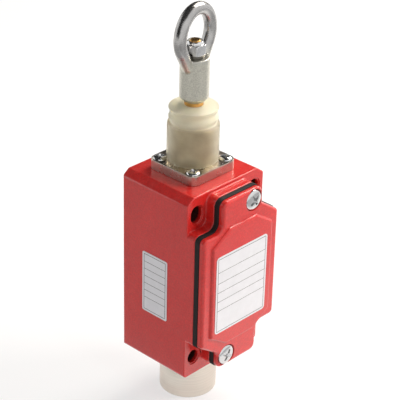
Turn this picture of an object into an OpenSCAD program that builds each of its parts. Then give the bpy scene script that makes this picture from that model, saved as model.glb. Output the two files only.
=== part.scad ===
// Rope pull switch: a die-cast box with a screwed front cover, a pull rod in a
// guided head with a rubber boot, a swivelling rope eye and a conduit adapter.
// Millimetres, +Z up. The origin is on the plunger axis, at the adapter's lower face.
// The front cover faces -Y and the box is fastened to a wall by its rear face, +Y.

/* [Housing] */
// Width of the box
body_w = 40; // [38:0.5:46]
// Height of the box
body_h = 75; // [74:0.5:84]
// Rear face to plunger axis
rear_y = 15.9; // [14.4:0.1:20]
// Plunger axis to the pocket face around the fixing holes
pocket_y = 16.9; // [15.5:0.1:20]
// Width of the chamfer along the two upper edges
chamfer_w = 3.3; // [1:0.1:4]
// Height of that chamfer
chamfer_h = 2.4; // [1:0.1:3.2]
// Radius on the vertical rear edges
rear_edge_r = 1.2; // [0.5:0.1:3]
// Height of the raised cover seat above the pocket face
seat_h = 3.9; // [2:0.1:6]
// Thickness of the side walls
side_wall = 3.2; // [2.5:0.1:3.5]
// Thickness of the rear wall
rear_wall = 3; // [2:0.1:4]
// Thickness of the roof under the head
roof_t = 4.5; // [4.2:0.1:5.5]

/* [Fixing holes] */
// Spacing of the fixing holes across the box
fix_dx = 30; // [30:0.1:30.4]
// Lower fixing holes above the bottom face
fix_z = 7.7; // [7.4:0.1:8.2]
// Upper fixing slots below the top face
fix_top = 7.3; // [7:0.1:7.5]
// Diameter of the fixing holes and width of the slots
fix_d = 5.3; // [4.5:0.1:5.5]
// Length of the upper slots
fix_slot = 6.6; // [6.3:0.1:7.4]
// Radial width of the relief ring around each hole
relief_w = 0.55; // [0.2:0.05:0.8]
// Depth of the relief ring
relief_t = 0.4; // [0.2:0.1:1]

/* [Cover] */
// Tongue flank on the slot side, from the axis
tongue_near = 10.4; // [10:0.1:11]
// Tongue flank on the screw side, from the axis
tongue_far = 10.8; // [10.5:0.1:11.2]
// Lower tongue's end above the bottom face
tongue_low = 3.5; // [3.1:0.1:4.5]
// Upper tongue's end below the top face
tongue_high = 1.3; // [0.8:0.1:2]
// Straight shoulder, from the tongue's end
shoulder_near = 11.7; // [11.3:0.1:12.5]
// Sloping shoulder's outer corner, from the tongue's end
shoulder_far = 13.3; // [12.8:0.1:14]
// Rise of the sloping shoulder
shoulder_rise = 6.4; // [4:0.1:7]
// Thickness of the rubber gasket
gasket_t = 2.0; // [1:0.1:3]
// Width of the rubber gasket
gasket_w = 2.6; // [2:0.1:3]
// Thickness of the cover plate
cover_t = 2.4; // [1.8:0.1:4]
// How far the cover's edge lies inside the seat's edge
cover_inset = 0.3; // [0.1:0.05:0.6]
// Height of the raised panel
panel_h = 1.0; // [0.5:0.1:1.5]
// Half width of the raised panel
panel_half_w = 15.9; // [15:0.1:16.5]
// Raised panel's ends, from the tongue's end
panel_in = 10.8; // [10.4:0.1:12]
// Width of the panel's corner cut
panel_cut_x = 8.6; // [6:0.1:10]
// Height of the panel's corner cut
panel_cut_z = 5.5; // [4:0.1:7]
// Rounding of the cover's front edge
cover_round = 1.2; // [0.4:0.1:1.5]
// Depth of the locating rib inside the cover
rib_h = 3; // [1:0.1:5]
// Cover screws, sideways from the axis
cover_screw_x = 5.9; // [5.7:0.1:6]
// Cover screws, from the tongue's end
cover_screw_in = 4.7; // [4.6:0.1:5.1]
// Depth of the spot faces that the screw heads lie in
cover_sink = 1.3; // [1:0.1:1.4]
// Head diameter of the cover screws
cover_head_d = 7.8; // [7:0.1:7.9]
// Head height of the cover screws
cover_head_h = 1.9; // [1.4:0.1:2.6]
// Thread diameter of the cover screws
cover_screw_d = 4; // [3.5:0.5:4]
// Thread length of the cover screws below the seat
cover_screw_bite = 7; // [5:0.5:8]

/* [Labels] */
// Thickness of the two labels
label_t = 0.15; // [0.1:0.05:0.3]
// Width of the front label
front_label_w = 27; // [20:0.1:27.4]
// Height of the front label
front_label_h = 32.3; // [26:0.1:34]
// Front label's middle to the left of the cover's middle
front_label_side = 0.6; // [0:0.1:1]
// Front label's middle below the middle of the cover
front_label_drop = 1.4; // [0:0.1:3]
// Width of the side label
side_label_w = 12.7; // [10:0.1:16]
// Height of the side label
side_label_h = 25.3; // [20:0.1:30]
// Side label's middle below the middle of the box
side_label_drop = 3.9; // [0:0.1:8]
// Side label's middle from the axis, towards the front
side_label_y = 1.2; // [-2:0.1:3]

/* [Head] */
// Side of the square head flange
flange_w = 23.1; // [22.6:0.1:26]
// Thickness of the head flange
flange_t = 3.9; // [3:0.1:6]
// Corner radius of the head flange
flange_r = 3.2; // [3.1:0.1:4]
// Spacing of the flange screws
flange_screw_dx = 16.9; // [16.8:0.1:17]
// Thread diameter of the flange screws
flange_screw_d = 3; // [2.5:0.5:3]
// Head diameter of the flange screws
flange_head_d = 5.1; // [4.8:0.1:5.1]
// Head height of the flange screws
flange_head_h = 1.9; // [1.4:0.1:2.2]
// Depth of the recess around each flange screw
flange_recess = 0.9; // [0.4:0.1:1.5]
// Outer radius of the guide tube
guide_r = 7.4; // [7.2:0.1:7.6]
// Height of the guide tube above the flange
guide_h = 13.6; // [12:0.1:15]
// Radius of the spring chamber in the guide tube
chamber_r = 5.6; // [5.5:0.1:5.8]
// Length of the bush at the top of the guide tube
bush_h = 4.1; // [3:0.1:5]
// Wall of the bush
bush_wall = 1.45; // [1:0.05:1.7]

/* [Rod and eye] */
// Radius of the pull rod
rod_r = 3.45; // [3.2:0.05:3.6]
// Pull travel
travel = 6; // [3:0.5:6]
// Rod shoulder above the flange
shoulder_z = 22.8; // [22.3:0.1:25]
// Thread radius at the top of the rod
stud_r = 2; // [1.8:0.1:2.2]
// Radius of the eye's shank
shank_r = 5.35; // [5.1:0.05:5.7]
// Height of the eye's shank
shank_h = 16.9; // [15:0.1:19]
// Chamfer at the foot of the shank
shank_chamfer = 1.7; // [0.5:0.1:1.8]
// Mean radius of the ring
ring_r = 9.3; // [8.8:0.1:10]
// Radius of the ring's section
ring_wire_r = 2.35; // [2.2:0.05:2.8]
// Ring centre above the shank's foot
ring_rise = 25.2; // [24.6:0.1:27]
// Where the limbs leave the ring, below its level line
limb_angle = 30; // [26:1:36]
// Root of the limbs below the nut's seat
limb_drop = 2.6; // [2:0.1:4]
// Turn of the eye about the axis
eye_turn = 9.5; // [0:0.5:90]
// Radius of the recess for the nut
nut_recess_r = 4.7; // [4.5:0.05:4.9]
// Width of the nut across flats
nut_flats = 7; // [6.5:0.1:7.2]
// Height of the nut's hexagon
nut_hex_h = 3.9; // [3:0.1:4.2]
// Height of the nut's collar above the hexagon
nut_collar_h = 1.1; // [0.6:0.1:1.5]
// Thickness of the washer under the nut
washer_t = 1.0; // [0.6:0.1:1.2]

/* [Boot] */
// Outer radius of the skirt
skirt_r = 9.5; // [9.2:0.1:9.8]
// Radius at the two folds
fold_r = 9.05; // [8.8:0.05:9.3]
// Radius at the grooves between the folds
groove_r = 8.3; // [8.1:0.05:8.5]
// Wall of the folds
fold_wall = 0.9; // [0.7:0.05:1]
// Height of one fold
fold_pitch = 3.5; // [3.2:0.1:3.6]

/* [Conduit adapter] */
// Outer radius of the adapter
adapter_r = 11; // [10.6:0.1:13]
// Length of the adapter's body
adapter_h = 18.6; // [16:0.1:30]
// Radius of the entry thread in the box
entry_r = 9.19; // [9:0.01:9.4]
// Depth of the entry thread
entry_h = 12; // [11:0.5:14]
// Radius of the conduit thread in the adapter
conduit_r = 7.19; // [6.5:0.01:7.5]
// Depth of the conduit thread
conduit_h = 12; // [8:0.5:13]
// Radius of the passage above the conduit thread
passage_r = 6.2; // [5:0.1:6.4]
// Thickness of the sealing ring
seal_t = 1.0; // [0.6:0.1:2]

/* [Contact block] */
// Width of the contact block
block_w = 27; // [26:0.5:30]
// Underside of the block above the bottom face
block_z = 20.6; // [20.4:0.1:21]
// Height of the contact block
block_h = 31.2; // [31:0.1:31.6]
// Depth of the block behind the axis
block_rear = 8.5; // [8:0.1:9]
// Depth of the block in front of the axis
block_front = 9.5; // [9:0.1:11]
// Thickness of the block's lid
lid_t = 1.6; // [1:0.1:2.5]
// Side of the square slider
slider_w = 8; // [7.6:0.1:8]
// Thickness of the contact bridges
bridge_t = 0.7; // [0.5:0.1:0.9]
// Width of the contact bridges
bridge_w = 3.6; // [3:0.1:3.8]
// Length of the contact bridges
bridge_l = 17.6; // [17:0.1:18]
// Thickness of the terminal strips
strip_t = 0.8; // [0.6:0.1:1]
// Height of a contact tip
tip_h = 0.6; // [0.4:0.1:0.8]
// Radius of a contact tip
tip_r = 1.1; // [0.8:0.1:1.3]

// Lower bridge above the foot of the block
bridge_low = 6.7; // [6.5:0.1:7]
// Upper bridge above the foot of the block
bridge_high = 22; // [21.8:0.1:22.2]
// Radius of the springs on the bridges
bridge_spring_r = 1.3; // [1.2:0.1:1.4]
// Wire radius of those springs
bridge_spring_wire = 0.2; // [0.15:0.05:0.25]
// Free height of the springs on the bridges
bridge_spring_h = 5.4; // [4.8:0.1:5.6]
// Terminal screws, from the side of the block
terminal_in = 3.3; // [3.2:0.1:3.5]
// Width of a terminal pad
pad_w = 6.2; // [5.8:0.1:6.4]
// Height of a terminal pad
pad_h = 6.8; // [6.4:0.1:7]
// Thread diameter of the terminal screws
terminal_d = 3.5; // [3:0.5:3.5]
// Head diameter of the terminal screws
terminal_head_d = 5.2; // [5:0.1:5.4]
// Head height of the terminal screws
terminal_head_h = 1.6; // [1.2:0.1:1.8]
// Thread length of the terminal screws
terminal_bite = 5.5; // [4.5:0.5:6]
// Side of the clamp washers
clamp_w = 5.4; // [5:0.1:5.6]
// Thickness of the clamp washers
clamp_t = 0.7; // [0.5:0.1:0.8]
// Thread diameter of the block's fixing screws
insert_d = 3; // [2.5:0.5:3]
// Head diameter of the block's fixing screws
insert_head_d = 5.5; // [5:0.1:5.6]
// Depth of the block's screw heads below its front
insert_sink = 3; // [2.5:0.1:3.5]
// Thread length of those screws in their posts
insert_bite = 3.4; // [2.5:0.1:3.6]
// Head height of the block's and the earth screws
insert_head_h = 1.8; // [1.4:0.1:2]
// Thread diameter of the earth screw
earth_d = 3.5; // [3:0.5:3.5]
// Head diameter of the earth screw
earth_head_d = 5.8; // [5.4:0.1:6]
// Earth screw, from the side face of the box
earth_in = 8.5; // [8:0.1:9]
// Earth screw above the block
earth_rise = 3.2; // [3.1:0.1:3.6]
// Height of the earth screw's post
earth_post_h = 4.5; // [4:0.1:5]

/* [Clearances] */
// Radial play of the rod in its bush and of the eye on the rod
run_gap = 0.06; // [0.03:0.01:0.09]
// Gap where a fixed piece is let into another
fit_gap = 0.03; // [0.02:0.01:0.05]
// Play around the slider
slide_gap = 0.2; // [0.15:0.05:0.3]
// Play where pieces turn or lie close
small_gap = 0.1; // [0.1:0.05:0.2]

/* [Hidden] */
$fn = 64;
ARC_STEPS = 6;

// Heights above the adapter's lower face
body_z = adapter_h + seal_t;
roof_z = body_z + body_h;
flange_top = roof_z + flange_t;
guide_top = flange_top + guide_h;
eye_z = flange_top + shoulder_z;
seat_top = eye_z + shank_h;
ring_z = eye_z + ring_rise;
spigot_h = roof_t - 1.3;
ledge_z = roof_z - spigot_h;
cavity_top = roof_z - roof_t;
bush_z = guide_top - bush_h;
nut_z = seat_top + small_gap + washer_t;
mid_z = body_z + (body_h + tongue_low - tongue_high) / 2;
tongue_reach = (body_h - tongue_low - tongue_high) / 2;
cover_screw_z = tongue_reach - cover_screw_in;
panel_half_h = tongue_reach - panel_in;
fix_low_z = body_z + fix_z;
fix_high_z = roof_z - fix_top;

// Depths, all measured from the axis towards the front
seat_y = pocket_y + seat_h;
gasket_y = seat_y + gasket_t;
cover_y = gasket_y + cover_t;
panel_y = cover_y + panel_h;
floor_y = rear_y - rear_wall;

// Posts and screws inside the box
spot_r = cover_head_d / 2 + 0.3;
cover_post_r = cover_screw_d / 2 + 2.1;
cover_post_y = seat_y - cover_screw_bite - 3;
insert_x = block_w / 2 - terminal_in;
insert_z = body_z + block_z + block_h * 0.56;
earth_x = -body_w / 2 + earth_in;
earth_z = body_z + block_z + block_h + earth_rise;
earth_face = -(floor_y - earth_post_h);
rib_gap = 0.25;
rib_w = 1.4;

// Head
flange_corners = rectangle(flange_w, flange_w, flange_r);
flange_round = 0.3;
flange_bite = roof_t - 0.7;
o_ring_r = 0.7;
o_ring_squash = 0.15;
bush_r = rod_r + run_gap + bush_wall;
boot_foot = flange_top + small_gap;
boot_rim = guide_top + 1.2;
boot_top = boot_rim + 0.4 + 1.5 * fold_pitch;
fold_steps = 8;

// Rod, from the hook in the slider up to the stud
hook_top = cavity_top - travel - 0.5;
rod_foot = hook_top + 0.5;
neck_h = 3.2;
neck_r = 1.9;
button_r = 3;
button_h = 2;
clip_r = rod_r + 1.1;
clip_t = 0.8;
clip_groove = 0.5;
clip_z = ledge_z - clip_t;
plate_t = 1.0;
stud_top = nut_z + nut_hex_h + nut_collar_h + 0.3;
insert_r = stud_r + 0.45;

// Contact block
block_low = body_z + block_z;
bridge_z = [block_low + bridge_low, block_low + bridge_high];
chamber_half = bridge_l / 2 + 0.8;
slider_foot = block_low + 2;
channel = slider_w / 2 + slide_gap;
strip_depth = 1.6;
neck_w = 3;

// ---- Outlines -------------------------------------------------------------

function unit(v) = v / norm(v);
function turn(a, b) = atan2(a.x * b.y - a.y * b.x, a * b);
function left_of(d) = [-d.y, d.x];
function wrap(list, i) = list[(i + len(list)) % len(list)];

// Corner moved inwards by e, with its fillet radius changed to suit
function inset_corner(a, p, b, e) =
    let (d1 = unit([p.x - a.x, p.y - a.y]), d2 = unit([b.x - p.x, b.y - p.y]),
         n1 = left_of(d1), n2 = left_of(d2), q = [p.x, p.y] + e * (n1 + n2) / (1 + n1 * n2))
    [q.x, q.y, max(0.3, p.z - e * sign(turn(d1, d2)))];
function inset(list, e) =
    [for (i = [0 : len(list) - 1]) inset_corner(wrap(list, i - 1), list[i], wrap(list, i + 1), e)];

// Points of one filleted corner
function fillet(a, p, b) =
    let (d1 = unit([p.x - a.x, p.y - a.y]), d2 = unit([b.x - p.x, b.y - p.y]), t = turn(d1, d2),
         start = [p.x, p.y] - d1 * p.z * tan(abs(t) / 2),
         centre = start + sign(t) * p.z * left_of(d1), r0 = start - centre, a0 = atan2(r0.y, r0.x))
    [for (k = [0 : ARC_STEPS]) centre + p.z * [cos(a0 + t * k / ARC_STEPS), sin(a0 + t * k / ARC_STEPS)]];
function rounded(list) =
    [for (i = [0 : len(list) - 1]) each fillet(wrap(list, i - 1), list[i], wrap(list, i + 1))];

// Upper half of the cover's outline as [x, z, radius]; the lower half is its half-turn copy
upper_half = [
    [body_w / 2, tongue_reach - shoulder_far, 1.8],
    [tongue_far, tongue_reach - shoulder_far + shoulder_rise, 2],
    [tongue_far, tongue_reach, 2.6],
    [-tongue_near, tongue_reach, 3],
    [-tongue_near, tongue_reach - shoulder_near, 3],
    [-body_w / 2, tongue_reach - shoulder_near, 2.2]];
seat_corners = concat(upper_half, [for (c = upper_half) [-c.x, -c.y, c.z]]);

box_corners = [
    [-body_w / 2, 0, 1.4], [body_w / 2, 0, 1.4],
    [body_w / 2, body_h - chamfer_h, 1], [body_w / 2 - chamfer_w, body_h, 1],
    [-body_w / 2 + chamfer_w, body_h, 1], [-body_w / 2, body_h - chamfer_h, 1]];

panel_half = [
    [panel_half_w, panel_half_h - panel_cut_z, 0.8],
    [panel_half_w - panel_cut_x, panel_half_h, 0.8],
    [-panel_half_w + panel_cut_x, panel_half_h, 0.8],
    [-panel_half_w, panel_half_h - panel_cut_z, 0.8]];
panel_corners = concat(panel_half, [for (c = panel_half) [-c.x, -c.y, c.z]]);

function rectangle(w, h, r) = [[w / 2, h / 2, r], [-w / 2, h / 2, r], [-w / 2, -h / 2, r], [w / 2, -h / 2, r]];

// ---- Shared shapes --------------------------------------------------------

// A solid through outlines with the same corners: each level is [corners, height]
module loft(levels) {
    rings = [for (level = levels) rounded(level[0])];
    n = len(rings[0]);
    top = len(levels) - 1;
    points = [for (i = [0 : top]) each [for (q = rings[i]) [q.x, q.y, levels[i][1]]]];
    walls = [for (i = [0 : top - 1]) for (j = [0 : n - 1])
        let (k = (j + 1) % n) [i * n + j, (i + 1) * n + j, (i + 1) * n + k, i * n + k]];
    polyhedron(points, concat(walls, [[for (j = [0 : n - 1]) j], [for (j = [n - 1 : -1 : 0]) top * n + j]]),
        convexity = 6);
}

// A closed band that follows an outline: each level is [inset, height], and the last joins the first
module band(corners, levels) {
    rings = [for (level = levels) rounded(inset(corners, level[0]))];
    n = len(rings[0]);
    count = len(levels);
    points = [for (i = [0 : count - 1]) each [for (q = rings[i]) [q.x, q.y, levels[i][1]]]];
    walls = [for (i = [0 : count - 1]) for (j = [0 : n - 1])
        let (k = (j + 1) % n, i2 = (i + 1) % count) [i * n + j, i2 * n + j, i2 * n + k, i * n + k]];
    polyhedron(points, walls, convexity = 8);
}

// A plate between two heights with its upper edge rounded to radius r
module soft_plate(corners, z0, z1, r) {
    lap = 0.5;
    band(corners, concat([[0, z0]],
        [for (a = [0 : 22.5 : 90]) [r - r * cos(a), z1 - r + r * sin(a)]],
        [[r + 2 * lap, z1], [r + 2 * lap, z0]]));
    translate([0, 0, z0]) linear_extrude(z1 - z0) polygon(rounded(inset(corners, r + lap)));
}

// A slab cut to an [x, z] shape, from depth y0 in front of the axis to depth y1
module slab(y0, y1) {
    translate([0, -y0, 0]) rotate([90, 0, 0]) linear_extrude(y1 - y0) children();
}

// The same, with the cover's middle as the shape's zero height
module cover_slab(y0, y1) {
    translate([0, 0, mid_z]) slab(y0, y1) children();
}

// A rod along Y, from depth y0 in front of the axis to depth y1
module rod_y(x, z, y0, y1, r) {
    translate([x, -y0, z]) rotate([90, 0, 0]) cylinder(y1 - y0, r, r);
}

module ring(z, h, r_in, r_out) {
    translate([0, 0, z]) difference() {
        cylinder(h, r_out, r_out);
        translate([0, 0, -1]) cylinder(h + 2, r_in, r_in);
    }
}

// Cross recess, with its mouth at zero height and its arms along X and Y
module cross_recess(d, depth) {
    arm = d * 0.6;
    width = d * 0.16;
    for (a = [0, 90])
        rotate([0, 0, a]) translate([-arm / 2, -width / 2, -depth]) cube([arm, width, depth + 1]);
}

// Pan-head screw along Z: the head stands on zero height and the thread hangs below
module pan_screw(d, head_d, head_h, thread_h, spin) {
    crown = head_h * 0.55;
    difference() {
        union() {
            translate([0, 0, -thread_h]) cylinder(thread_h, d / 2, d / 2);
            rotate_extrude() polygon(concat(
                [[0, 0], [head_d / 2 - 0.1, 0], [head_d / 2, 0.1]],
                [for (a = [0 : 15 : 90]) [head_d / 2 * cos(a * 0.999), head_h - crown + crown * sin(a)]]));
        }
        rotate([0, 0, spin]) translate([0, 0, head_h]) cross_recess(head_d, head_h * 0.62);
    }
}

// A screw driven from the front, its head seated at depth y
module front_screw(x, z, y) {
    translate([x, -y, z]) rotate([90, 0, 0]) children();
}

// A coil spring along Z, swept as one closed skin
module coil(r, wire_r, h, turns, sides, steps) {
    count = turns * steps;
    rings = [for (i = [0 : count]) for (j = [0 : sides - 1])
        let (a = 360 * i / steps, b = 360 * j / sides, d = r + wire_r * cos(b))
        [d * cos(a), d * sin(a), wire_r + (h - 2 * wire_r) * i / count + wire_r * sin(b)]];
    skin = [for (i = [0 : count - 1]) for (j = [0 : sides - 1])
        let (k = (j + 1) % sides)
        [i * sides + j, i * sides + k, (i + 1) * sides + k, (i + 1) * sides + j]];
    first = [for (j = [sides - 1 : -1 : 0]) j];
    last = [for (j = [0 : sides - 1]) count * sides + j];
    polyhedron(rings, concat(skin, [first, last]), convexity = 6);
}

// ---- Housing --------------------------------------------------------------

module plan_shape() {
    depth = rear_y + seat_y;
    translate([-body_w / 2, -seat_y]) square([body_w, depth - rear_edge_r]);
    translate([-body_w / 2 + rear_edge_r, -seat_y]) square([body_w - 2 * rear_edge_r, depth]);
    for (s = [-1, 1]) translate([s * (body_w / 2 - rear_edge_r), rear_y - rear_edge_r]) circle(rear_edge_r);
}

module fixing_holes() {
    for (s = [-1, 1]) {
        rod_y(s * fix_dx / 2, fix_low_z, -rear_y - 1, pocket_y + 1, fix_d / 2);
        rod_y(s * fix_dx / 2, fix_low_z, pocket_y - relief_t, pocket_y + 1, fix_d / 2 + relief_w);
        slot(s * fix_dx / 2, fix_high_z, -rear_y - 1, fix_d / 2);
        slot(s * fix_dx / 2, fix_high_z, pocket_y - relief_t, fix_d / 2 + relief_w);
    }
}

module slot(x, z, y0, r) {
    half = (fix_slot - fix_d) / 2;
    for (s = [-1, 1]) rod_y(x, z + s * half, y0, pocket_y + 1, r);
    translate([x - r, -pocket_y - 1, z - half]) cube([2 * r, pocket_y + 1 - y0, 2 * half]);
}

// Columns inside the box for the cover screws and the contact block's screws

module housing_posts() {
    for (s = [-1, 1])
        rod_y(s * cover_screw_x, mid_z + s * cover_screw_z, cover_post_y, seat_y, cover_post_r);
    for (s = [-1, 1])
        rod_y(s * insert_x, insert_z, -floor_y - 0.5, -block_rear, insert_d / 2 + 1.5);
    rod_y(earth_x, earth_z, -floor_y - 0.5, earth_face, earth_d / 2 + 1.2);
}

module housing() {
    color([0.82, 0.13, 0.12]) difference() {
        union() {
            intersection() {
                union() {
                    translate([0, 0, body_z]) slab(-rear_y, pocket_y) polygon(rounded(box_corners));
                    cover_slab(pocket_y - 1, seat_y) polygon(rounded(seat_corners));
                }
                translate([0, 0, body_z - 1]) linear_extrude(body_h + 2) plan_shape();
            }
        }
        difference() {
            cover_slab(-floor_y, seat_y + 1) polygon(rounded(inset(seat_corners, side_wall)));
            housing_posts();
            translate([-body_w / 2, -pocket_y, cavity_top]) cube([body_w, pocket_y + rear_y, body_h]);
        }
        fixing_holes();
        // head spigot, rod passage and cable entry
        translate([0, 0, ledge_z]) cylinder(spigot_h + 1, guide_r + fit_gap, guide_r + fit_gap);
        translate([0, 0, cavity_top - 1]) cylinder(roof_t, clip_r + 0.3, clip_r + 0.3);
        translate([0, 0, body_z - 1]) cylinder(entry_h + 1, entry_r, entry_r);
        translate([0, 0, body_z]) cylinder(block_z - 1, entry_r - 1.2, entry_r - 1.2);
        // blind threads for the screws
        for (s = [-1, 1]) {
            rod_y(s * cover_screw_x, mid_z + s * cover_screw_z, seat_y - cover_screw_bite - 1,
                seat_y + 1, cover_screw_d / 2 + fit_gap);
            rod_y(s * insert_x, insert_z, -floor_y, -block_rear + 1, insert_d / 2 + fit_gap);
        }
        rod_y(earth_x, earth_z, -floor_y, earth_face + 1, earth_d / 2 + fit_gap);
        for (x = [-1, 1]) for (y = [-1, 1])
            translate([x * flange_screw_dx / 2, y * flange_screw_dx / 2, roof_z - flange_bite - 0.3])
                cylinder(flange_bite + 1, flange_screw_d / 2 + fit_gap, flange_screw_d / 2 + fit_gap);
    }
}

// ---- Cover ----------------------------------------------------------------

module cover_screw_places() {
    for (s = [-1, 1])
        front_screw(s * cover_screw_x, mid_z + s * cover_screw_z, cover_y - cover_sink) children();
}

module cover_gasket() {
    color([0.13, 0.12, 0.12]) difference() {
        cover_slab(seat_y, gasket_y) polygon(rounded(seat_corners));
        difference() {
            cover_slab(seat_y - 1, gasket_y + 1) polygon(rounded(inset(seat_corners, gasket_w)));
            for (s = [-1, 1])
                rod_y(s * cover_screw_x, mid_z + s * cover_screw_z, seat_y - 1, gasket_y + 1, cover_post_r);
        }
        for (s = [-1, 1])
            rod_y(s * cover_screw_x, mid_z + s * cover_screw_z, seat_y - 1, gasket_y + 1,
                cover_screw_d / 2 + small_gap);
    }
}

module front_cover() {
    color([0.86, 0.17, 0.14]) difference() {
        union() {
            translate([0, 0, mid_z]) rotate([90, 0, 0]) {
                soft_plate(inset(seat_corners, cover_inset), gasket_y, cover_y, cover_round);
                loft([[panel_corners, cover_y - 0.5], [panel_corners, panel_y - 0.6], [inset(panel_corners, 0.6), panel_y]]);
            }
            difference() {
                cover_slab(gasket_y - rib_h, gasket_y + 0.5)
                    polygon(rounded(inset(seat_corners, side_wall + rib_gap)));
                cover_slab(gasket_y - rib_h - 1, gasket_y)
                    polygon(rounded(inset(seat_corners, side_wall + rib_gap + rib_w)));
                for (s = [-1, 1])
                    rod_y(s * cover_screw_x, mid_z + s * cover_screw_z, gasket_y - rib_h - 1, gasket_y,
                        cover_post_r + rib_gap);
            }
        }
        cover_slab(gasket_y - 1, cover_y - 1) polygon(rounded(inset(panel_corners, 1.6)));
        cover_screw_places() {
            translate([0, 0, -cover_t - 1])
                cylinder(cover_t + 2, cover_screw_d / 2 + small_gap, cover_screw_d / 2 + small_gap);
            cylinder(cover_sink + 1, spot_r, spot_r);
        }
    }
}

module cover_screws() {
    color([0.8, 0.8, 0.82]) cover_screw_places()
        pan_screw(cover_screw_d, cover_head_d, cover_head_h,
            cover_t - cover_sink + gasket_t + cover_screw_bite, 32);
}

module front_label() {
    color([0.9, 0.9, 0.91]) translate([-front_label_side, 0, mid_z - front_label_drop])
        slab(panel_y, panel_y + label_t) polygon(rounded(rectangle(front_label_w, front_label_h, 1.4)));
}

module side_label() {
    color([0.9, 0.9, 0.91]) translate([-body_w / 2, -side_label_y, body_z + body_h / 2 - side_label_drop])
        rotate([90, 0, -90]) linear_extrude(label_t) polygon(rounded(rectangle(side_label_w, side_label_h, 0.8)));
}

// ---- Head -----------------------------------------------------------------

module flange_screw_places() {
    for (x = [-1, 1]) for (y = [-1, 1])
        translate([x * flange_screw_dx / 2, y * flange_screw_dx / 2, flange_top - flange_recess]) children();
}

module head_flange() {
    color([0.72, 0.71, 0.7]) difference() {
        union() {
            translate([0, 0, roof_z]) soft_plate(flange_corners, 0, flange_t, flange_round);
            translate([0, 0, ledge_z]) cylinder(guide_top - ledge_z - 0.6, guide_r, guide_r);
            translate([0, 0, guide_top - 0.6]) cylinder(0.6, guide_r, guide_r - 0.6);
        }
        translate([0, 0, ledge_z - 1]) cylinder(bush_z - ledge_z + 1, chamber_r, chamber_r);
        translate([0, 0, bush_z - 1]) cylinder(bush_h + 2, bush_r + fit_gap, bush_r + fit_gap);
        translate([0, 0, roof_z - 1]) difference() {
            cylinder(1 + 2 * (o_ring_r - o_ring_squash), guide_r + 2.5 * o_ring_r, guide_r + 2.5 * o_ring_r);
            cylinder(flange_t, guide_r, guide_r);
        }
        flange_screw_places() cylinder(3, flange_head_d / 2 + 0.3, flange_head_d / 2 + 0.3);
        flange_screw_places() translate([0, 0, -flange_t])
            cylinder(flange_t + 1, flange_screw_d / 2 + small_gap, flange_screw_d / 2 + small_gap);
    }
}

module flange_o_ring() {
    h = 2 * (o_ring_r - o_ring_squash);
    color([0.1, 0.1, 0.1]) translate([0, 0, roof_z + h / 2]) intersection() {
        rotate_extrude() translate([guide_r + o_ring_r + o_ring_squash, 0]) circle(o_ring_r, $fn = 24);
        translate([0, 0, -h / 2]) cylinder(h, flange_w / 2, flange_w / 2);
    }
}

module flange_screws() {
    color([0.85, 0.85, 0.87]) flange_screw_places()
        pan_screw(flange_screw_d, flange_head_d, flange_head_h, flange_t - flange_recess + flange_bite, 20);
}

module guide_bush() {
    color([0.55, 0.42, 0.22]) ring(bush_z, bush_h, rod_r + run_gap, bush_r);
}

// ---- Boot -----------------------------------------------------------------

// Radius of the folded wall at a height above the rim
function fold_at(h) = (fold_r + groove_r) / 2 - (fold_r - groove_r) / 2 * cos(360 * h / fold_pitch);
function fold_line(wall) = [for (i = [0 : fold_steps * 13 / 8])
    let (h = i * fold_pitch / fold_steps) [fold_at(h) - wall, boot_rim + 0.4 + h]];
function reversed(list) = [for (i = [len(list) - 1 : -1 : 0]) list[i]];

module boot() {
    collar_r = rod_r + 1.2;
    tip_z = boot_top + 1.2;
    color([0.87, 0.84, 0.7]) rotate_extrude() polygon(concat(
        [[guide_r + small_gap, boot_foot], [skirt_r - 0.3, boot_foot], [skirt_r, boot_foot + 0.5]],
        [for (a = [0 : 18 : 90]) [skirt_r - 0.8 + 0.8 * cos(a), boot_rim - 0.8 + 0.8 * sin(a)]],
        fold_line(0),
        [[fold_r - 1.1, tip_z - 0.5], [collar_r, tip_z], [rod_r + run_gap, tip_z],
         [rod_r + run_gap, tip_z - 1.2], [fold_r - 1.9, boot_top - 0.1]],
        reversed(fold_line(fold_wall)),
        [[guide_r + small_gap, boot_rim - 0.6]]));
}

// ---- Rod ------------------------------------------------------------------

module pull_rod() {
    color([0.82, 0.62, 0.25]) difference() {
        union() {
            translate([0, 0, rod_foot]) cylinder(eye_z - rod_foot, rod_r, rod_r);
            translate([0, 0, rod_foot - neck_h]) cylinder(neck_h + 1, neck_r, neck_r);
            translate([0, 0, rod_foot - neck_h - button_h]) cylinder(button_h, button_r, button_r);
            translate([0, 0, eye_z - 1]) cylinder(stud_top - eye_z + 0.6, stud_r, stud_r);
            translate([0, 0, stud_top - 0.4]) cylinder(0.4, stud_r, stud_r - 0.4);
        }
        ring(clip_z, clip_t, rod_r - clip_groove, rod_r + 1);
    }
}

module rod_clip() {
    color([0.3, 0.3, 0.32]) difference() {
        ring(clip_z + 0.02, clip_t - 0.04, rod_r - clip_groove + fit_gap, clip_r);
        translate([0, -1.6, clip_z - 1]) cube([clip_r + 1, 3.2, clip_t + 2]);
    }
}

module spring_plate() {
    color([0.6, 0.6, 0.62]) ring(ledge_z, plate_t, rod_r + small_gap, chamber_r - 0.35);
}

module return_spring() {
    spring_wire = 0.45;
    translate([0, 0, ledge_z + plate_t + 0.05]) color([0.55, 0.55, 0.57])
        coil((rod_r + chamber_r) / 2, spring_wire, bush_z - ledge_z - plate_t - 0.1, 7, 8, 14);
}

// ---- Eye and nut ----------------------------------------------------------

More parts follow.
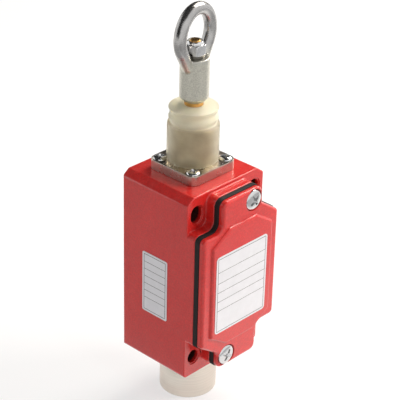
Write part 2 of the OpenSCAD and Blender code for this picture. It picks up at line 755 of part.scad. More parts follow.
module rope_eye() {
    arc_end = limb_angle + 5;
    limb_r = ring_wire_r - 0.1;
    color([0.72, 0.71, 0.68]) rotate([0, 0, eye_turn]) difference() {
        union() {
            translate([0, 0, eye_z + small_gap]) cylinder(shank_chamfer, shank_r - shank_chamfer, shank_r);
            translate([0, 0, eye_z + small_gap + shank_chamfer])
                cylinder(shank_h - small_gap - shank_chamfer, shank_r, shank_r);
            translate([0, 0, ring_z]) rotate([90, 0, 0]) rotate([0, 0, -arc_end])
                rotate_extrude(angle = 180 + 2 * arc_end) translate([ring_r, 0]) circle(ring_wire_r, $fn = 40);
            for (s = [-1, 1]) hull() {
                translate([s * ring_r * cos(limb_angle), 0, ring_z - ring_r * sin(limb_angle)])
                    sphere(ring_wire_r - 0.03, $fn = 32);
                translate([s * (shank_r - limb_r * 0.38), 0, seat_top - limb_drop]) sphere(limb_r, $fn = 32);
            }
        }
        translate([0, 0, seat_top]) cylinder(ring_rise - shank_h, nut_recess_r, nut_recess_r);
        translate([0, 0, eye_z - 1]) cylinder(shank_h + 2, stud_r + run_gap, stud_r + run_gap);
    }
}

module thrust_washer() {
    color([0.75, 0.6, 0.3]) ring(seat_top + small_gap, washer_t, stud_r + fit_gap, nut_flats / 2 - 0.1);
}

module lock_nut() {
    corner_r = nut_flats / 2 / cos(30);
    collar_r = nut_flats / 2 - 0.5;
    color([0.78, 0.78, 0.79]) difference() {
        union() {
            intersection() {
                translate([0, 0, nut_z]) rotate([0, 0, -4.6]) cylinder(nut_hex_h, corner_r, corner_r, $fn = 6);
                translate([0, 0, nut_z]) rotate_extrude() polygon([[0, 0], [corner_r - 0.35, 0],
                    [corner_r + 0.3, 0.4], [corner_r + 0.3, nut_hex_h - 0.5], [corner_r - 0.45, nut_hex_h],
                    [0, nut_hex_h]]);
            }
            translate([0, 0, nut_z + nut_hex_h]) cylinder(nut_collar_h - 0.4, collar_r, collar_r);
            translate([0, 0, nut_z + nut_hex_h + nut_collar_h - 0.4]) cylinder(0.4, collar_r, collar_r - 0.4);
        }
        translate([0, 0, nut_z - 1]) cylinder(nut_hex_h + 2.5, stud_r + fit_gap, stud_r + fit_gap);
        translate([0, 0, nut_z + nut_hex_h - 0.7]) cylinder(nut_collar_h + 2, insert_r, insert_r);
    }
}

module nut_insert() {
    color([0.85, 0.88, 0.92])
        ring(nut_z + nut_hex_h - 0.7, nut_collar_h + 0.5, stud_r + 0.01, insert_r - 0.01);
}

// ---- Conduit adapter ------------------------------------------------------

module conduit_adapter() {
    edge = 0.6;
    color([0.84, 0.81, 0.75]) difference() {
        union() {
            cylinder(edge, adapter_r - edge, adapter_r);
            translate([0, 0, edge]) cylinder(adapter_h - edge, adapter_r, adapter_r);
            translate([0, 0, adapter_h]) cylinder(seal_t + entry_h - 0.5, entry_r - fit_gap, entry_r - fit_gap);
        }
        translate([0, 0, -1]) cylinder(conduit_h + 1, conduit_r, conduit_r);
        translate([0, 0, 1]) cylinder(body_z + entry_h, passage_r, passage_r);
    }
}

module adapter_seal() {
    color([0.1, 0.1, 0.1]) ring(adapter_h, seal_t, entry_r + small_gap, adapter_r - 0.3);
}

// ---- Contact block --------------------------------------------------------

// The lower pair closes below its bridge and the upper pair closes above it
function closes_up(level) = level == 1;
function tip_face(level) = closes_up(level)
    ? bridge_z[1] + bridge_t + travel + 0.2
    : bridge_z[0] - small_gap;
function strip_low(level) = closes_up(level) ? tip_face(1) + tip_h : tip_face(0) - tip_h - strip_t;
function pad_low(level) = closes_up(level) ? strip_low(1) + strip_t - pad_h : strip_low(0);
function pad_mid(level) = pad_low(level) + pad_h / 2 + (closes_up(level) ? -0.3 : 0.3);

module contact_base() {
    chamber_low = [strip_low(0) - 0.5, bridge_z[1] - 0.8];
    chamber_high = [bridge_z[0] + bridge_t + travel + 0.8, strip_low(1) + strip_t + 0.1];
    color([0.12, 0.12, 0.13]) difference() {
        translate([-block_w / 2, -block_front, block_low]) cube([block_w, block_rear + block_front, block_h]);
        // slider channel, open to the front and above
        translate([-channel, -block_front - 1, slider_foot - slide_gap])
            cube([2 * channel, block_front + 1 + channel, block_h]);
        for (level = [0, 1]) {
            translate([-chamber_half, -block_front - 1, chamber_low[level]])
                cube([2 * chamber_half, block_front + 1 + bridge_w / 2 + 0.4, chamber_high[level] - chamber_low[level]]);
            for (s = [-1, 1]) {
                // slot for the terminal strip and recess for the screw pad
                mirror_x(s) translate([chamber_half - 2, -block_front - 1, strip_low(level) - fit_gap])
                    cube([block_w / 2 - chamber_half + 3, block_front + 1 + bridge_w / 2 + 0.1, strip_t + 2 * fit_gap]);
                mirror_x(s) translate([insert_x - pad_w / 2 - 0.1, -block_front - 1, pad_low(level) - 0.1])
                    cube([block_w / 2, 1 + strip_depth + 0.1, pad_h + 0.2]);
                rod_y(s * insert_x, pad_mid(level), 0, block_front, terminal_d / 2 + small_gap);
            }
        }
        for (s = [-1, 1]) {
            rod_y(s * insert_x, insert_z, -block_rear - 1, block_front + 1, insert_d / 2 + small_gap);
            rod_y(s * insert_x, insert_z, block_front - insert_sink, block_front + 1, insert_head_d / 2 + fit_gap + 0.2);
        }
    }
}

module mirror_x(s) {
    if (s > 0) children();
    else mirror([1, 0, 0]) children();
}

module contact_lid() {
    low = strip_low(0) - 1.5;
    color([0.2, 0.2, 0.21]) translate([-channel - 1.6, -block_front - lid_t, low])
        cube([2 * channel + 3.2, lid_t, block_low + block_h - low]);
}

module slider() {
    color([0.85, 0.85, 0.82]) difference() {
        translate([-slider_w / 2, -slider_w / 2, slider_foot]) cube([slider_w, slider_w, hook_top - slider_foot]);
        // hook for the rod's button, open to the front
        translate([-button_r - 0.3, -slider_w, hook_top - 5]) cube([2 * button_r + 0.6, slider_w + button_r + 0.3, 2.6]);
        translate([-neck_r - 0.3, -slider_w, hook_top - 3]) cube([2 * neck_r + 0.6, slider_w + neck_r + 0.3, 4]);
        // windows for the bridges
        for (level = [0, 1])
            translate([-slider_w, -bridge_w / 2 - 0.2, window_low(level)])
                cube([2 * slider_w, bridge_w + 0.4, bridge_t + bridge_spring_h + 0.5]);
    }
}
function window_low(level) = closes_up(level) ? bridge_z[1] - bridge_spring_h - 0.1 : bridge_z[0] - 0.4;

module contact_bridges() {
    color([0.8, 0.68, 0.4]) for (z = bridge_z)
        translate([-bridge_l / 2, -bridge_w / 2, z]) cube([bridge_l, bridge_w, bridge_t]);
}

module bridge_springs() {
    color([0.6, 0.6, 0.62]) {
        translate([0, 0, bridge_z[0] + bridge_t + 0.05]) coil(bridge_spring_r, bridge_spring_wire, bridge_spring_h - 0.05, 5, 6, 12);
        translate([0, 0, bridge_z[1] - bridge_spring_h]) coil(bridge_spring_r, bridge_spring_wire, bridge_spring_h - 0.05, 5, 6, 12);
    }
}

module fixed_contacts() {
    color([0.8, 0.68, 0.4]) for (level = [0, 1]) for (s = [-1, 1]) mirror_x(s) difference() {
        union() {
            translate([bridge_l / 2 - 2.6, -bridge_w / 2, strip_low(level)])
                cube([block_w / 2 - bridge_l / 2 + 2.4, bridge_w, strip_t]);
            translate([insert_x - neck_w / 2, -block_front + 0.1, strip_low(level)])
                cube([neck_w, block_front - bridge_w / 2, strip_t]);
            translate([insert_x - pad_w / 2, -block_front + strip_depth - strip_t, pad_low(level)])
                cube([pad_w, strip_t, pad_h]);
        }
        rod_y(insert_x, pad_mid(level), 0, block_front + 1, terminal_d / 2 + fit_gap);
    }
}

module contact_tips() {
    color([0.85, 0.85, 0.85]) for (level = [0, 1]) for (s = [-1, 1])
        translate([s * (bridge_l / 2 - 1.4), 0, closes_up(level) ? tip_face(1) : strip_low(0) + strip_t])
            cylinder(tip_h, tip_r, tip_r);
}

module terminal_places() {
    for (level = [0, 1]) for (s = [-1, 1])
        translate([s * insert_x, -block_front + strip_depth - strip_t, pad_mid(level)]) rotate([90, 0, 0]) children();
}

module clamp_washers() {
    color([0.7, 0.7, 0.72]) terminal_places() translate([0, 0, 0.02]) difference() {
        translate([-clamp_w / 2, -clamp_w / 2, 0]) cube([clamp_w, clamp_w, clamp_t]);
        translate([0, 0, -1]) cylinder(3, terminal_d / 2 + small_gap, terminal_d / 2 + small_gap);
    }
}

module terminal_screws() {
    color([0.8, 0.75, 0.55]) terminal_places() translate([0, 0, clamp_t + 0.04])
        pan_screw(terminal_d, terminal_head_d, terminal_head_h, terminal_bite, 45);
}

module insert_screws() {
    color([0.75, 0.75, 0.77]) for (s = [-1, 1])
        translate([s * insert_x, -block_front + insert_sink, insert_z]) rotate([90, 0, 0])
            pan_screw(insert_d, insert_head_d, insert_head_h, block_front - insert_sink + block_rear + insert_bite, 0);
}

module earth_screw() {
    color([0.8, 0.75, 0.55]) translate([earth_x, -earth_face - 0.8, earth_z]) rotate([90, 0, 0])
        pan_screw(earth_d, earth_head_d, insert_head_h, earth_post_h, 10);
}

module earth_washer() {
    color([0.75, 0.75, 0.77]) translate([earth_x, -earth_face - 0.02, earth_z]) rotate([90, 0, 0])
        ring(0, 0.76, earth_d / 2 + small_gap, earth_head_d / 2);
}

housing();
cover_gasket();
front_cover();
cover_screws();
front_label();
side_label();
head_flange();
flange_o_ring();
flange_screws();
guide_bush();
boot();
pull_rod();
rod_clip();
spring_plate();
return_spring();
rope_eye();
thrust_washer();
lock_nut();
nut_insert();
conduit_adapter();
adapter_seal();
contact_base();
contact_lid();
slider();
contact_bridges();
bridge_springs();
fixed_contacts();
contact_tips();
terminal_screws();
clamp_washers();
insert_screws();
earth_screw();
earth_washer();
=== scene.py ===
"""A rope pull switch: its finishes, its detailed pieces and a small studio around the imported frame."""

import math

import bmesh
import bpy
from bpy.props import FloatProperty, FloatVectorProperty, IntProperty, PointerProperty
from mathutils import Matrix, Vector


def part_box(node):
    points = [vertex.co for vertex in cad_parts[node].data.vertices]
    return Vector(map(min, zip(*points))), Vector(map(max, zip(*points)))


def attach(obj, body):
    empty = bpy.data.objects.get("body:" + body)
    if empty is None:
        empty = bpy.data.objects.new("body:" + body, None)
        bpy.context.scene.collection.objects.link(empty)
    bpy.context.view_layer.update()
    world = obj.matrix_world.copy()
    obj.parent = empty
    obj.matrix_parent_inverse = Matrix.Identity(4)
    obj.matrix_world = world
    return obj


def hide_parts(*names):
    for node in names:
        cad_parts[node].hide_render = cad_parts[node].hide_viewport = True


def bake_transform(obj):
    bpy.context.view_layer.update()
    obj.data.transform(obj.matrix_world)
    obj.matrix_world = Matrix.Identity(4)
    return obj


bl_info = {
    "name": "Rope pull switch",
    "version": (1, 0, 0),
    "blender": (4, 5, 0),
    "location": "3D View > Sidebar > Switch",
    "description": "Dresses a rope pull switch with detailed pieces, finishes and a studio",
    "category": "Object",
}

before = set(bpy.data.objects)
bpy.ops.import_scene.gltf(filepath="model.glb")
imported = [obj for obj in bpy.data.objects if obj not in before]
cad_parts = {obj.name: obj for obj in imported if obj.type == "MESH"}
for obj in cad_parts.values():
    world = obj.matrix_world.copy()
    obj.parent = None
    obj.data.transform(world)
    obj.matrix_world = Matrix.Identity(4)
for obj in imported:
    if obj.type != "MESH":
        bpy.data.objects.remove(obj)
MM = 0.001
# Points closer than the first are one point, and faces thinner than the second are dropped
WELD, SLIVER = 2e-6, 5e-6
# Edges sharper than this, in degrees, are rounded
SHARP_ANGLE = 32.0
# Cosine above which a face counts as square to an axis
SQUARE_ON = 0.999
# How far before a tip a rounding starts to taper, and its share in tight places and at a tip
TIP_REACH = 2.2 * MM
TIGHT_SHARE, LEAST_SHARE = 0.33, 0.02
# Radius and thread pitch of the screws' shanks
M3, M4 = (1.5 * MM, 0.5 * MM), (2.0 * MM, 0.7 * MM)


# ---- Places taken from the frame ------------------------------------------

def low(node):
    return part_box(node)[0]


def high(node):
    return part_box(node)[1]


def middle(node):
    lo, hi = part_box(node)
    return (lo + hi) / 2


# The fixing holes: distance from the axis, radius, and each pair's height with half its slot's travel
FIX_X, FIX_R = 15 * MM, 2.65 * MM
FIX_HEIGHTS = ((low("housing").z + 7.7 * MM, 0.0), (high("housing").z - 7.3 * MM, 0.65 * MM))


# ---- Settings -------------------------------------------------------------

def colour(name, description, default):
    return FloatVectorProperty(
        name=name, description=description, default=default, subtype="COLOR", min=0, max=1, size=3)


def length(name, description, default):
    return FloatProperty(name=name, description=description, default=default, min=0, unit="LENGTH")


def number(name, description, default):
    return FloatProperty(name=name, description=description, default=default)


class SwitchColours(bpy.types.PropertyGroup):
    """Colours of the switch's finishes."""

    paint: colour("Paint", "Powder coat on the box and its cover", (0.62, 0.012, 0.009))
    rubber: colour("Rubber", "Gasket and sealing rings", (0.018, 0.016, 0.016))
    casting: colour("Casting", "Cast ring of the eye", (0.50, 0.49, 0.48))
    flange: colour("Flange", "Yellow plated head flange", (0.60, 0.53, 0.46))
    shank: colour("Shank", "Cast shank below the ring", (0.68, 0.66, 0.57))
    zinc: colour("Zinc", "Bright plated screws and nut", (0.78, 0.78, 0.78))
    brass: colour("Brass", "Pull rod and contact strips", (0.74, 0.43, 0.15))
    boot: colour("Boot", "Folds of the translucent boot", (0.95, 0.91, 0.74))
    # The skirt's colour is darker than the folds' as painted shade, for the dark bush inside that shows
    # through it.
    skirt: colour("Skirt", "Skirt of the translucent boot", (0.80, 0.75, 0.60))
    adapter: colour("Adapter", "Satin plated conduit adapter", (0.74, 0.68, 0.60))
    film: colour("Film", "Label film", (0.74, 0.74, 0.78))
    ink: colour("Ink", "Ruled lines on the labels", (0.05, 0.05, 0.055))


class SwitchSizes(bpy.types.PropertyGroup):
    """Sizes of the details that the pieces get here."""

    paint_edge: length("Paint edge", "Rounding of the painted castings' edges", 0.35 * MM)
    metal_edge: length("Metal edge", "Rounding of the flange's and nut's edges", 0.15 * MM)
    rubber_edge: length("Rubber edge", "Rounding of the gasket's edges", 0.2 * MM)
    eye_grain: length("Eye mesh", "Cell size of the cast eye's skin", 0.22 * MM)
    eye_smoothing: IntProperty(name="Eye smoothing", description="Smoothing passes over the eye", default=10)
    thread_pitch: length("Thread pitch", "Pitch of the conduit thread", 1.5 * MM)


class SwitchStage(bpy.types.PropertyGroup):
    """Camera and lamps."""

    azimuth: number("Azimuth", "Camera's turn about the switch, in degrees", -47.057)
    elevation: number("Elevation", "Camera's height angle, in degrees", 28.352)
    roll: number("Roll", "Camera's tilt about its own axis, in degrees", 1.478)
    distance: length("Distance", "Camera to the point it looks at", 0.5409)
    lens: number("Lens", "Focal length on a 36 mm sensor", 132.52)
    aim_side: length("Aim sideways", "Point looked at, to the camera's right", 3.061 * MM)
    aim_height: length("Aim height", "Point looked at, above the floor", 81.245 * MM)
    card: number("Cards", "Grey of the flags above and behind", 0.04)
    side_card: number("Side card", "Grey of the card at the left", 0.45)
    front_card: number("Front card", "Grey of the card in front", 0.55)
    fore_card: number("Fore card", "Grey of the card under the camera", 0.3)
    sky: number("Sky", "Strength of the white surroundings", 0.5)
    key: number("Key lamp", "Power of the large lamp at the right", 4.0)
    top: number("Top lamp", "Power of the lamp above", 4.2)
    floor_glow: number("Floor glow", "Share of the floor that shows as plain white", 0.6)


def colours():
    return bpy.context.scene.switch_colours


def sizes():
    return bpy.context.scene.switch_sizes


# ---- Shader groups and materials ------------------------------------------

def group_tree(name, inputs, outputs):
    """An empty shader node group with named float sockets; returns the tree and its two end nodes."""
    tree = bpy.data.node_groups.new(name, "ShaderNodeTree")
    for label, value in inputs:
        socket = tree.interface.new_socket(label, in_out="INPUT", socket_type="NodeSocketFloat")
        socket.default_value = value
    for label, kind in outputs:
        tree.interface.new_socket(label, in_out="OUTPUT", socket_type=kind)
    return tree, tree.nodes.new("NodeGroupInput"), tree.nodes.new("NodeGroupOutput")


def math_node(tree, operation, first, second=None, clamp=False):
    node = tree.nodes.new("ShaderNodeMath")
    node.operation = operation
    node.use_clamp = clamp
    for socket, value in zip(node.inputs, (first, second)):
        if isinstance(value, (int, float)):
            socket.default_value = value
        elif value is not None:
            tree.links.new(value, socket)
    return node.outputs[0]


def map_range(tree, value, low_in, high_in, low_out, high_out):
    node = tree.nodes.new("ShaderNodeMapRange")
    tree.links.new(value, node.inputs["Value"])
    ends = {"From Min": low_in, "From Max": high_in, "To Min": low_out, "To Max": high_out}
    for label, end in ends.items():
        node.inputs[label].default_value = end
    return node.outputs["Result"]


def noise(tree, scale, detail=4.0, stretch=(1, 1, 1), roughness=0.5):
    """Noise on Object coordinates; scale may be a socket or a number, in cells per metre."""
    coordinates = tree.nodes.new("ShaderNodeTexCoord").outputs["Object"]
    mapping = tree.nodes.new("ShaderNodeMapping")
    mapping.inputs["Scale"].default_value = stretch
    tree.links.new(coordinates, mapping.inputs["Vector"])
    node = tree.nodes.new("ShaderNodeTexNoise")
    node.inputs["Detail"].default_value = detail
    node.inputs["Roughness"].default_value = roughness
    if isinstance(scale, (int, float)):
        node.inputs["Scale"].default_value = scale
    else:
        tree.links.new(scale, node.inputs["Scale"])
    tree.links.new(mapping.outputs["Vector"], node.inputs["Vector"])
    return node.outputs["Fac"]


def object_axes(tree):
    """Object coordinates, one socket for each of X, Y and Z."""
    separate = tree.nodes.new("ShaderNodeSeparateXYZ")
    tree.links.new(tree.nodes.new("ShaderNodeTexCoord").outputs["Object"], separate.inputs["Vector"])
    return separate.outputs


def make_grain_group():
    """Fine surface grain: a height for bump and a slightly uneven roughness."""
    tree, start, end = group_tree(
        "Surface grain",
        [("Scale", 2500.0), ("Roughness", 0.4), ("Spread", 0.08)],
        [("Height", "NodeSocketFloat"), ("Roughness", "NodeSocketFloat")])
    fine = noise(tree, start.outputs["Scale"], detail=3.0)
    coarse = noise(tree, math_node(tree, "MULTIPLY", start.outputs["Scale"], 0.11), detail=5.0)
    spread = math_node(tree, "MULTIPLY", math_node(tree, "SUBTRACT", coarse, 0.5), start.outputs["Spread"])
    tree.links.new(fine, end.inputs["Height"])
    uneven = math_node(tree, "MULTIPLY", spread, 2.0)
    rough = math_node(tree, "ADD", start.outputs["Roughness"], uneven, clamp=True)
    tree.links.new(rough, end.inputs["Roughness"])
    return tree


def make_wear_group():
    """A mask along worn edges, broken up by noise."""
    tree, start, end = group_tree(
        "Edge wear",
        [("Width", 0.0004), ("Amount", 0.6), ("Scale", 900.0)],
        [("Mask", "NodeSocketFloat")])
    bevel = tree.nodes.new("ShaderNodeBevel")
    bevel.samples = 4
    tree.links.new(start.outputs["Width"], bevel.inputs["Radius"])
    true_normal = tree.nodes.new("ShaderNodeNewGeometry").outputs["Normal"]
    product = tree.nodes.new("ShaderNodeVectorMath")
    product.operation = "DOT_PRODUCT"
    tree.links.new(bevel.outputs["Normal"], product.inputs[0])
    tree.links.new(true_normal, product.inputs[1])
    edge = map_range(tree, product.outputs["Value"], 0.99, 0.86, 0.0, 1.0)
    uneven = noise(tree, start.outputs["Scale"], detail=6.0, roughness=0.65)
    broken = map_range(tree, uneven, 0.45, 0.62, 0.0, 1.0)
    mask = math_node(tree, "MULTIPLY", edge, broken)
    worn = math_node(tree, "MULTIPLY", mask, start.outputs["Amount"], clamp=True)
    tree.links.new(worn, end.inputs["Mask"])
    return tree


def make_dust_group():
    """A mask of fine dust that gathers on faces that look up."""
    tree, start, end = group_tree(
        "Fine dust", [("Amount", 0.1), ("Scale", 160.0)], [("Mask", "NodeSocketFloat")])
    separate = tree.nodes.new("ShaderNodeSeparateXYZ")
    tree.links.new(tree.nodes.new("ShaderNodeNewGeometry").outputs["Normal"], separate.inputs["Vector"])
    upward = map_range(tree, separate.outputs["Z"], -0.2, 1.0, 0.25, 1.0)
    uneven = noise(tree, start.outputs["Scale"], detail=8.0, roughness=0.7)
    patches = map_range(tree, uneven, 0.35, 0.75, 0.0, 1.0)
    mask = math_node(tree, "MULTIPLY", upward, patches)
    dusty = math_node(tree, "MULTIPLY", mask, start.outputs["Amount"], clamp=True)
    tree.links.new(dusty, end.inputs["Mask"])
    return tree


SHARED_GROUPS = {
    "Surface grain": make_grain_group, "Edge wear": make_wear_group, "Fine dust": make_dust_group}


def shared_group(tree, name, **values):
    """Places one of the shared groups, built once, with this material's own values."""
    node = tree.nodes.new("ShaderNodeGroup")
    node.node_tree = bpy.data.node_groups.get(name) or SHARED_GROUPS[name]()
    for label, value in values.items():
        node.inputs[label.capitalize()].default_value = value
    return node.outputs


def blank_material(name, roughness=0.5, metallic=0.0, **sockets):
    material = bpy.data.materials.new(name)
    material.use_nodes = True
    shader = material.node_tree.nodes["Principled BSDF"]
    shader.inputs["Roughness"].default_value = roughness
    shader.inputs["Metallic"].default_value = metallic
    for label, value in sockets.items():
        shader.inputs[label.replace("_", " ")].default_value = value
    return material, material.node_tree, shader


def mix_colours(tree, factor, first, second):
    node = tree.nodes.new("ShaderNodeMix")
    node.data_type = "RGBA"
    for label, value in (("Factor", factor), ("A", first), ("B", second)):
        socket = node.inputs[label]
        if isinstance(value, bpy.types.NodeSocket):
            tree.links.new(value, socket)
        elif isinstance(value, (int, float)):
            socket.default_value = value
        else:
            socket.default_value = (*value, 1)
    return next(out for out in node.outputs if out.type == "RGBA")


def base_colour(tree, shader, factor, first, second):
    tree.links.new(mix_colours(tree, factor, first, second), shader.inputs["Base Color"])


def shade(colour_value, factor):
    return tuple(min(1.0, channel * factor) for channel in colour_value)


def add_bump(tree, shader, height, distance, socket="Normal"):
    bump = tree.nodes.new("ShaderNodeBump")
    bump.inputs["Distance"].default_value = distance
    bump.inputs["Strength"].default_value = 1.0
    tree.links.new(height, bump.inputs["Height"])
    tree.links.new(bump.outputs["Normal"], shader.inputs[socket])


def grained(tree, shader, scale, roughness, spread, distance):
    """Gives a shader the shared grain, in its roughness and as bump."""
    grain = shared_group(tree, "Surface grain", scale=scale, roughness=roughness, spread=spread)
    tree.links.new(grain["Roughness"], shader.inputs["Roughness"])
    add_bump(tree, shader, grain["Height"], distance)


def hole_shade_mask(tree):
    """Painted shade: 1 deep in the fixing holes, which are darkened there to stand in for the shade inside
    them.
    """
    x, y, z = object_axes(tree)
    across = math_node(tree, "SUBTRACT", math_node(tree, "ABSOLUTE", x), FIX_X)
    # Painted shade: the darkening in the holes begins this far along Y and fades in over fade.
    past_wall, shade_starts, fade = 0.15 * MM, low("front_cover").y + 10.6 * MM, 0.8 * MM
    total = None
    for height, half_slot in FIX_HEIGHTS:
        along = math_node(tree, "ABSOLUTE", math_node(tree, "SUBTRACT", z, height))
        along = math_node(tree, "MAXIMUM", math_node(tree, "SUBTRACT", along, half_slot), 0.0)
        away = math_node(tree, "SQRT", math_node(tree, "ADD", math_node(tree, "MULTIPLY", across, across),
                                                 math_node(tree, "MULTIPLY", along, along)))
        inside = math_node(tree, "LESS_THAN", away, FIX_R + past_wall)
        total = inside if total is None else math_node(tree, "ADD", total, inside, clamp=True)
    depth = map_range(tree, y, shade_starts, shade_starts + fade, 0.0, 1.0)
    return math_node(tree, "MULTIPLY", total, depth)


def paint_material():
    base, grain, relief = tuple(colours().paint), 1500.0, 0.00003
    # The near-black red for deep in the fixing holes is painted shade.
    chipped, hole_shade_colour, dusty = (0.75, 0.10, 0.07), (0.05, 0.008, 0.006), (0.75, 0.66, 0.62)
    material, tree, shader = blank_material("Red powder coat", Coat_Weight=1.0, Coat_Roughness=0.14,
                                            Specular_IOR_Level=0.25)
    grained(tree, shader, grain, 0.34, 0.08, relief)
    add_bump(tree, shader, noise(tree, grain, detail=3.0), relief, "Coat Normal")
    broad = map_range(tree, noise(tree, 120.0, detail=4.0), 0.3, 0.7, 0.0, 0.3)
    speckle = map_range(tree, noise(tree, 1300.0, detail=2.0), 0.35, 0.65, 0.0, 0.7)
    worn = shared_group(tree, "Edge wear", width=0.0005, amount=0.45, scale=1400.0)["Mask"]
    dust = shared_group(tree, "Fine dust", amount=0.05, scale=260.0)["Mask"]
    mottled = math_node(tree, "ADD", broad, speckle, clamp=True)
    coat = mix_colours(tree, mottled, shade(base, 0.86), shade(base, 1.14))
    # Painted shade: the fixing holes are darkened with the near-black red.
    worn_and_hole_shaded = mix_colours(tree, hole_shade_mask(tree), mix_colours(tree, worn, coat, chipped), hole_shade_colour)
    base_colour(tree, shader, dust, worn_and_hole_shaded, dusty)
    return material


def rubber_material():
    base = tuple(colours().rubber)
    material, tree, shader = blank_material("Black rubber", Specular_IOR_Level=0.2)
    grained(tree, shader, 3200.0, 0.62, 0.1, 0.00001)
    dust = shared_group(tree, "Fine dust", amount=0.1, scale=420.0)["Mask"]
    base_colour(tree, shader, dust, base, (0.16, 0.14, 0.13))
    return material


# Each metal: its colour or the setting that holds it, roughness, its spread, grain scale and relief,
# amount of wear on the edges and how much lighter they are there
METALS = {
    "Cast zinc": ("casting", 0.36, 0.1, 2600.0, 0.00004, 0.3, 1.25),
    "Plated flange": ("flange", 0.28, 0.12, 1600.0, 0.000014, 0.8, 1.6),
    "Bright zinc": ("zinc", 0.13, 0.06, 2200.0, 0.000006, 0.3, 1.1),
    "Turned brass": ("brass", 0.34, 0.08, 3000.0, 0.000008, 0.3, 1.1),
    "Sintered bronze": ((0.42, 0.27, 0.12), 0.5, 0.12, 5000.0, 0.00003, 0.3, 1.25),
    # This dark steel is partly the washer's own steel and partly painted shade, for the shade under the nut.
    "Oiled steel": ((0.20, 0.19, 0.17), 0.35, 0.12, 3000.0, 0.00001, 0.3, 1.25),
    "Spring steel": ((0.42, 0.42, 0.44), 0.3, 0.1, 2600.0, 0.000008, 0.3, 1.25),
    "Silver contact": ((0.86, 0.85, 0.82), 0.25, 0.1, 3000.0, 0.000008, 0.3, 1.25),
}


def metal(name):
    """One of the metals, made the first time that a piece asks for it."""
    if name in bpy.data.materials:
        return bpy.data.materials[name]
    base, roughness, spread, scale, distance, wear, worn_tint = METALS[name]
    if isinstance(base, str):
        base = tuple(getattr(colours(), base))
    material, tree, shader = blank_material(name, metallic=1.0)
    grained(tree, shader, scale, roughness, spread, distance)
    patches = map_range(tree, noise(tree, scale * 0.08, detail=5.0), 0.35, 0.65, 0.0, 1.0)
    body = mix_colours(tree, patches, shade(base, 0.86), shade(base, 1.08))
    worn = shared_group(tree, "Edge wear", width=0.0003, amount=wear, scale=1500.0)["Mask"]
    base_colour(tree, shader, worn, body, shade(base, worn_tint))
    return material


def casting_material():
    """Rough as cast on the shank, and rubbed bright on the ring above it."""
    material = metal("Cast zinc")
    tree = material.node_tree
    shader = tree.nodes["Principled BSDF"]
    seat = low("thrust_washer").z
    rubbed = map_range(tree, object_axes(tree)["Z"], seat - 2 * MM, seat + 3 * MM, 0.0, 1.0)
    rough = shader.inputs["Roughness"].links[0].from_socket
    polish = math_node(tree, "MULTIPLY", rubbed, 0.1)
    tree.links.new(math_node(tree, "SUBTRACT", rough, polish, clamp=True), shader.inputs["Roughness"])
    speckle = map_range(tree, noise(tree, 2400.0, detail=3.0), 0.35, 0.65, 0.0, 1.0)
    warm = tuple(colours().shank)
    cast = mix_colours(tree, speckle, shade(warm, 0.85), shade(warm, 1.12))
    bright = shader.inputs["Base Color"].links[0].from_socket
    base_colour(tree, shader, rubbed, cast, bright)
    return material


def adapter_material():
    base = tuple(colours().adapter)
    material, tree, shader = blank_material("Satin nickel", metallic=1.0)
    grain = shared_group(tree, "Surface grain", scale=2600.0, roughness=0.42, spread=0.06)
    tree.links.new(grain["Roughness"], shader.inputs["Roughness"])
    turned = noise(tree, 900.0, detail=3.0, stretch=(0.02, 0.02, 3.0))
    height = math_node(tree, "ADD", math_node(tree, "MULTIPLY", turned, 0.6), grain["Height"])
    add_bump(tree, shader, height, 0.000012)
    streaks = map_range(tree, turned, 0.35, 0.65, 0.0, 1.0)
    body = mix_colours(tree, streaks, shade(base, 0.95), shade(base, 1.05))
    worn = shared_group(tree, "Edge wear", width=0.0004, amount=0.35, scale=1200.0)["Mask"]
    base_colour(tree, shader, worn, body, (0.9, 0.88, 0.84))
    return material


def boot_material(name, clearness, darker, lighter):
    """Cloudy translucent rubber."""
    material, tree, shader = blank_material(
        name, Subsurface_Weight=0.12, Subsurface_Scale=0.002, IOR=1.3, Transmission_Weight=clearness)
    shader.inputs["Subsurface Radius"].default_value = (1.0, 0.8, 0.5)
    grained(tree, shader, 1500.0, 0.42, 0.08, 0.00001)
    cloudy = map_range(tree, noise(tree, 190.0, detail=4.0), 0.3, 0.7, 0.0, 1.0)
    body = mix_colours(tree, cloudy, darker, lighter)
    dust = shared_group(tree, "Fine dust", amount=0.12, scale=300.0)["Mask"]
    base_colour(tree, shader, dust, body, (0.9, 0.87, 0.78))
    return material


def plastic_material(name, base, roughness):
    material, tree, shader = blank_material(name)
    grained(tree, shader, 1700.0, roughness, 0.08, 0.000008)
    cloudy = map_range(tree, noise(tree, 200.0, detail=3.0), 0.3, 0.7, 0.0, 1.0)
    base_colour(tree, shader, cloudy, shade(base, 0.93), shade(base, 1.07))
    return material


def line_mask(tree, coordinate, position, half_width):
    """1 within half_width of a position along one coordinate."""
    away = math_node(tree, "ABSOLUTE", math_node(tree, "SUBTRACT", coordinate, position))
    return math_node(tree, "LESS_THAN", away, half_width)


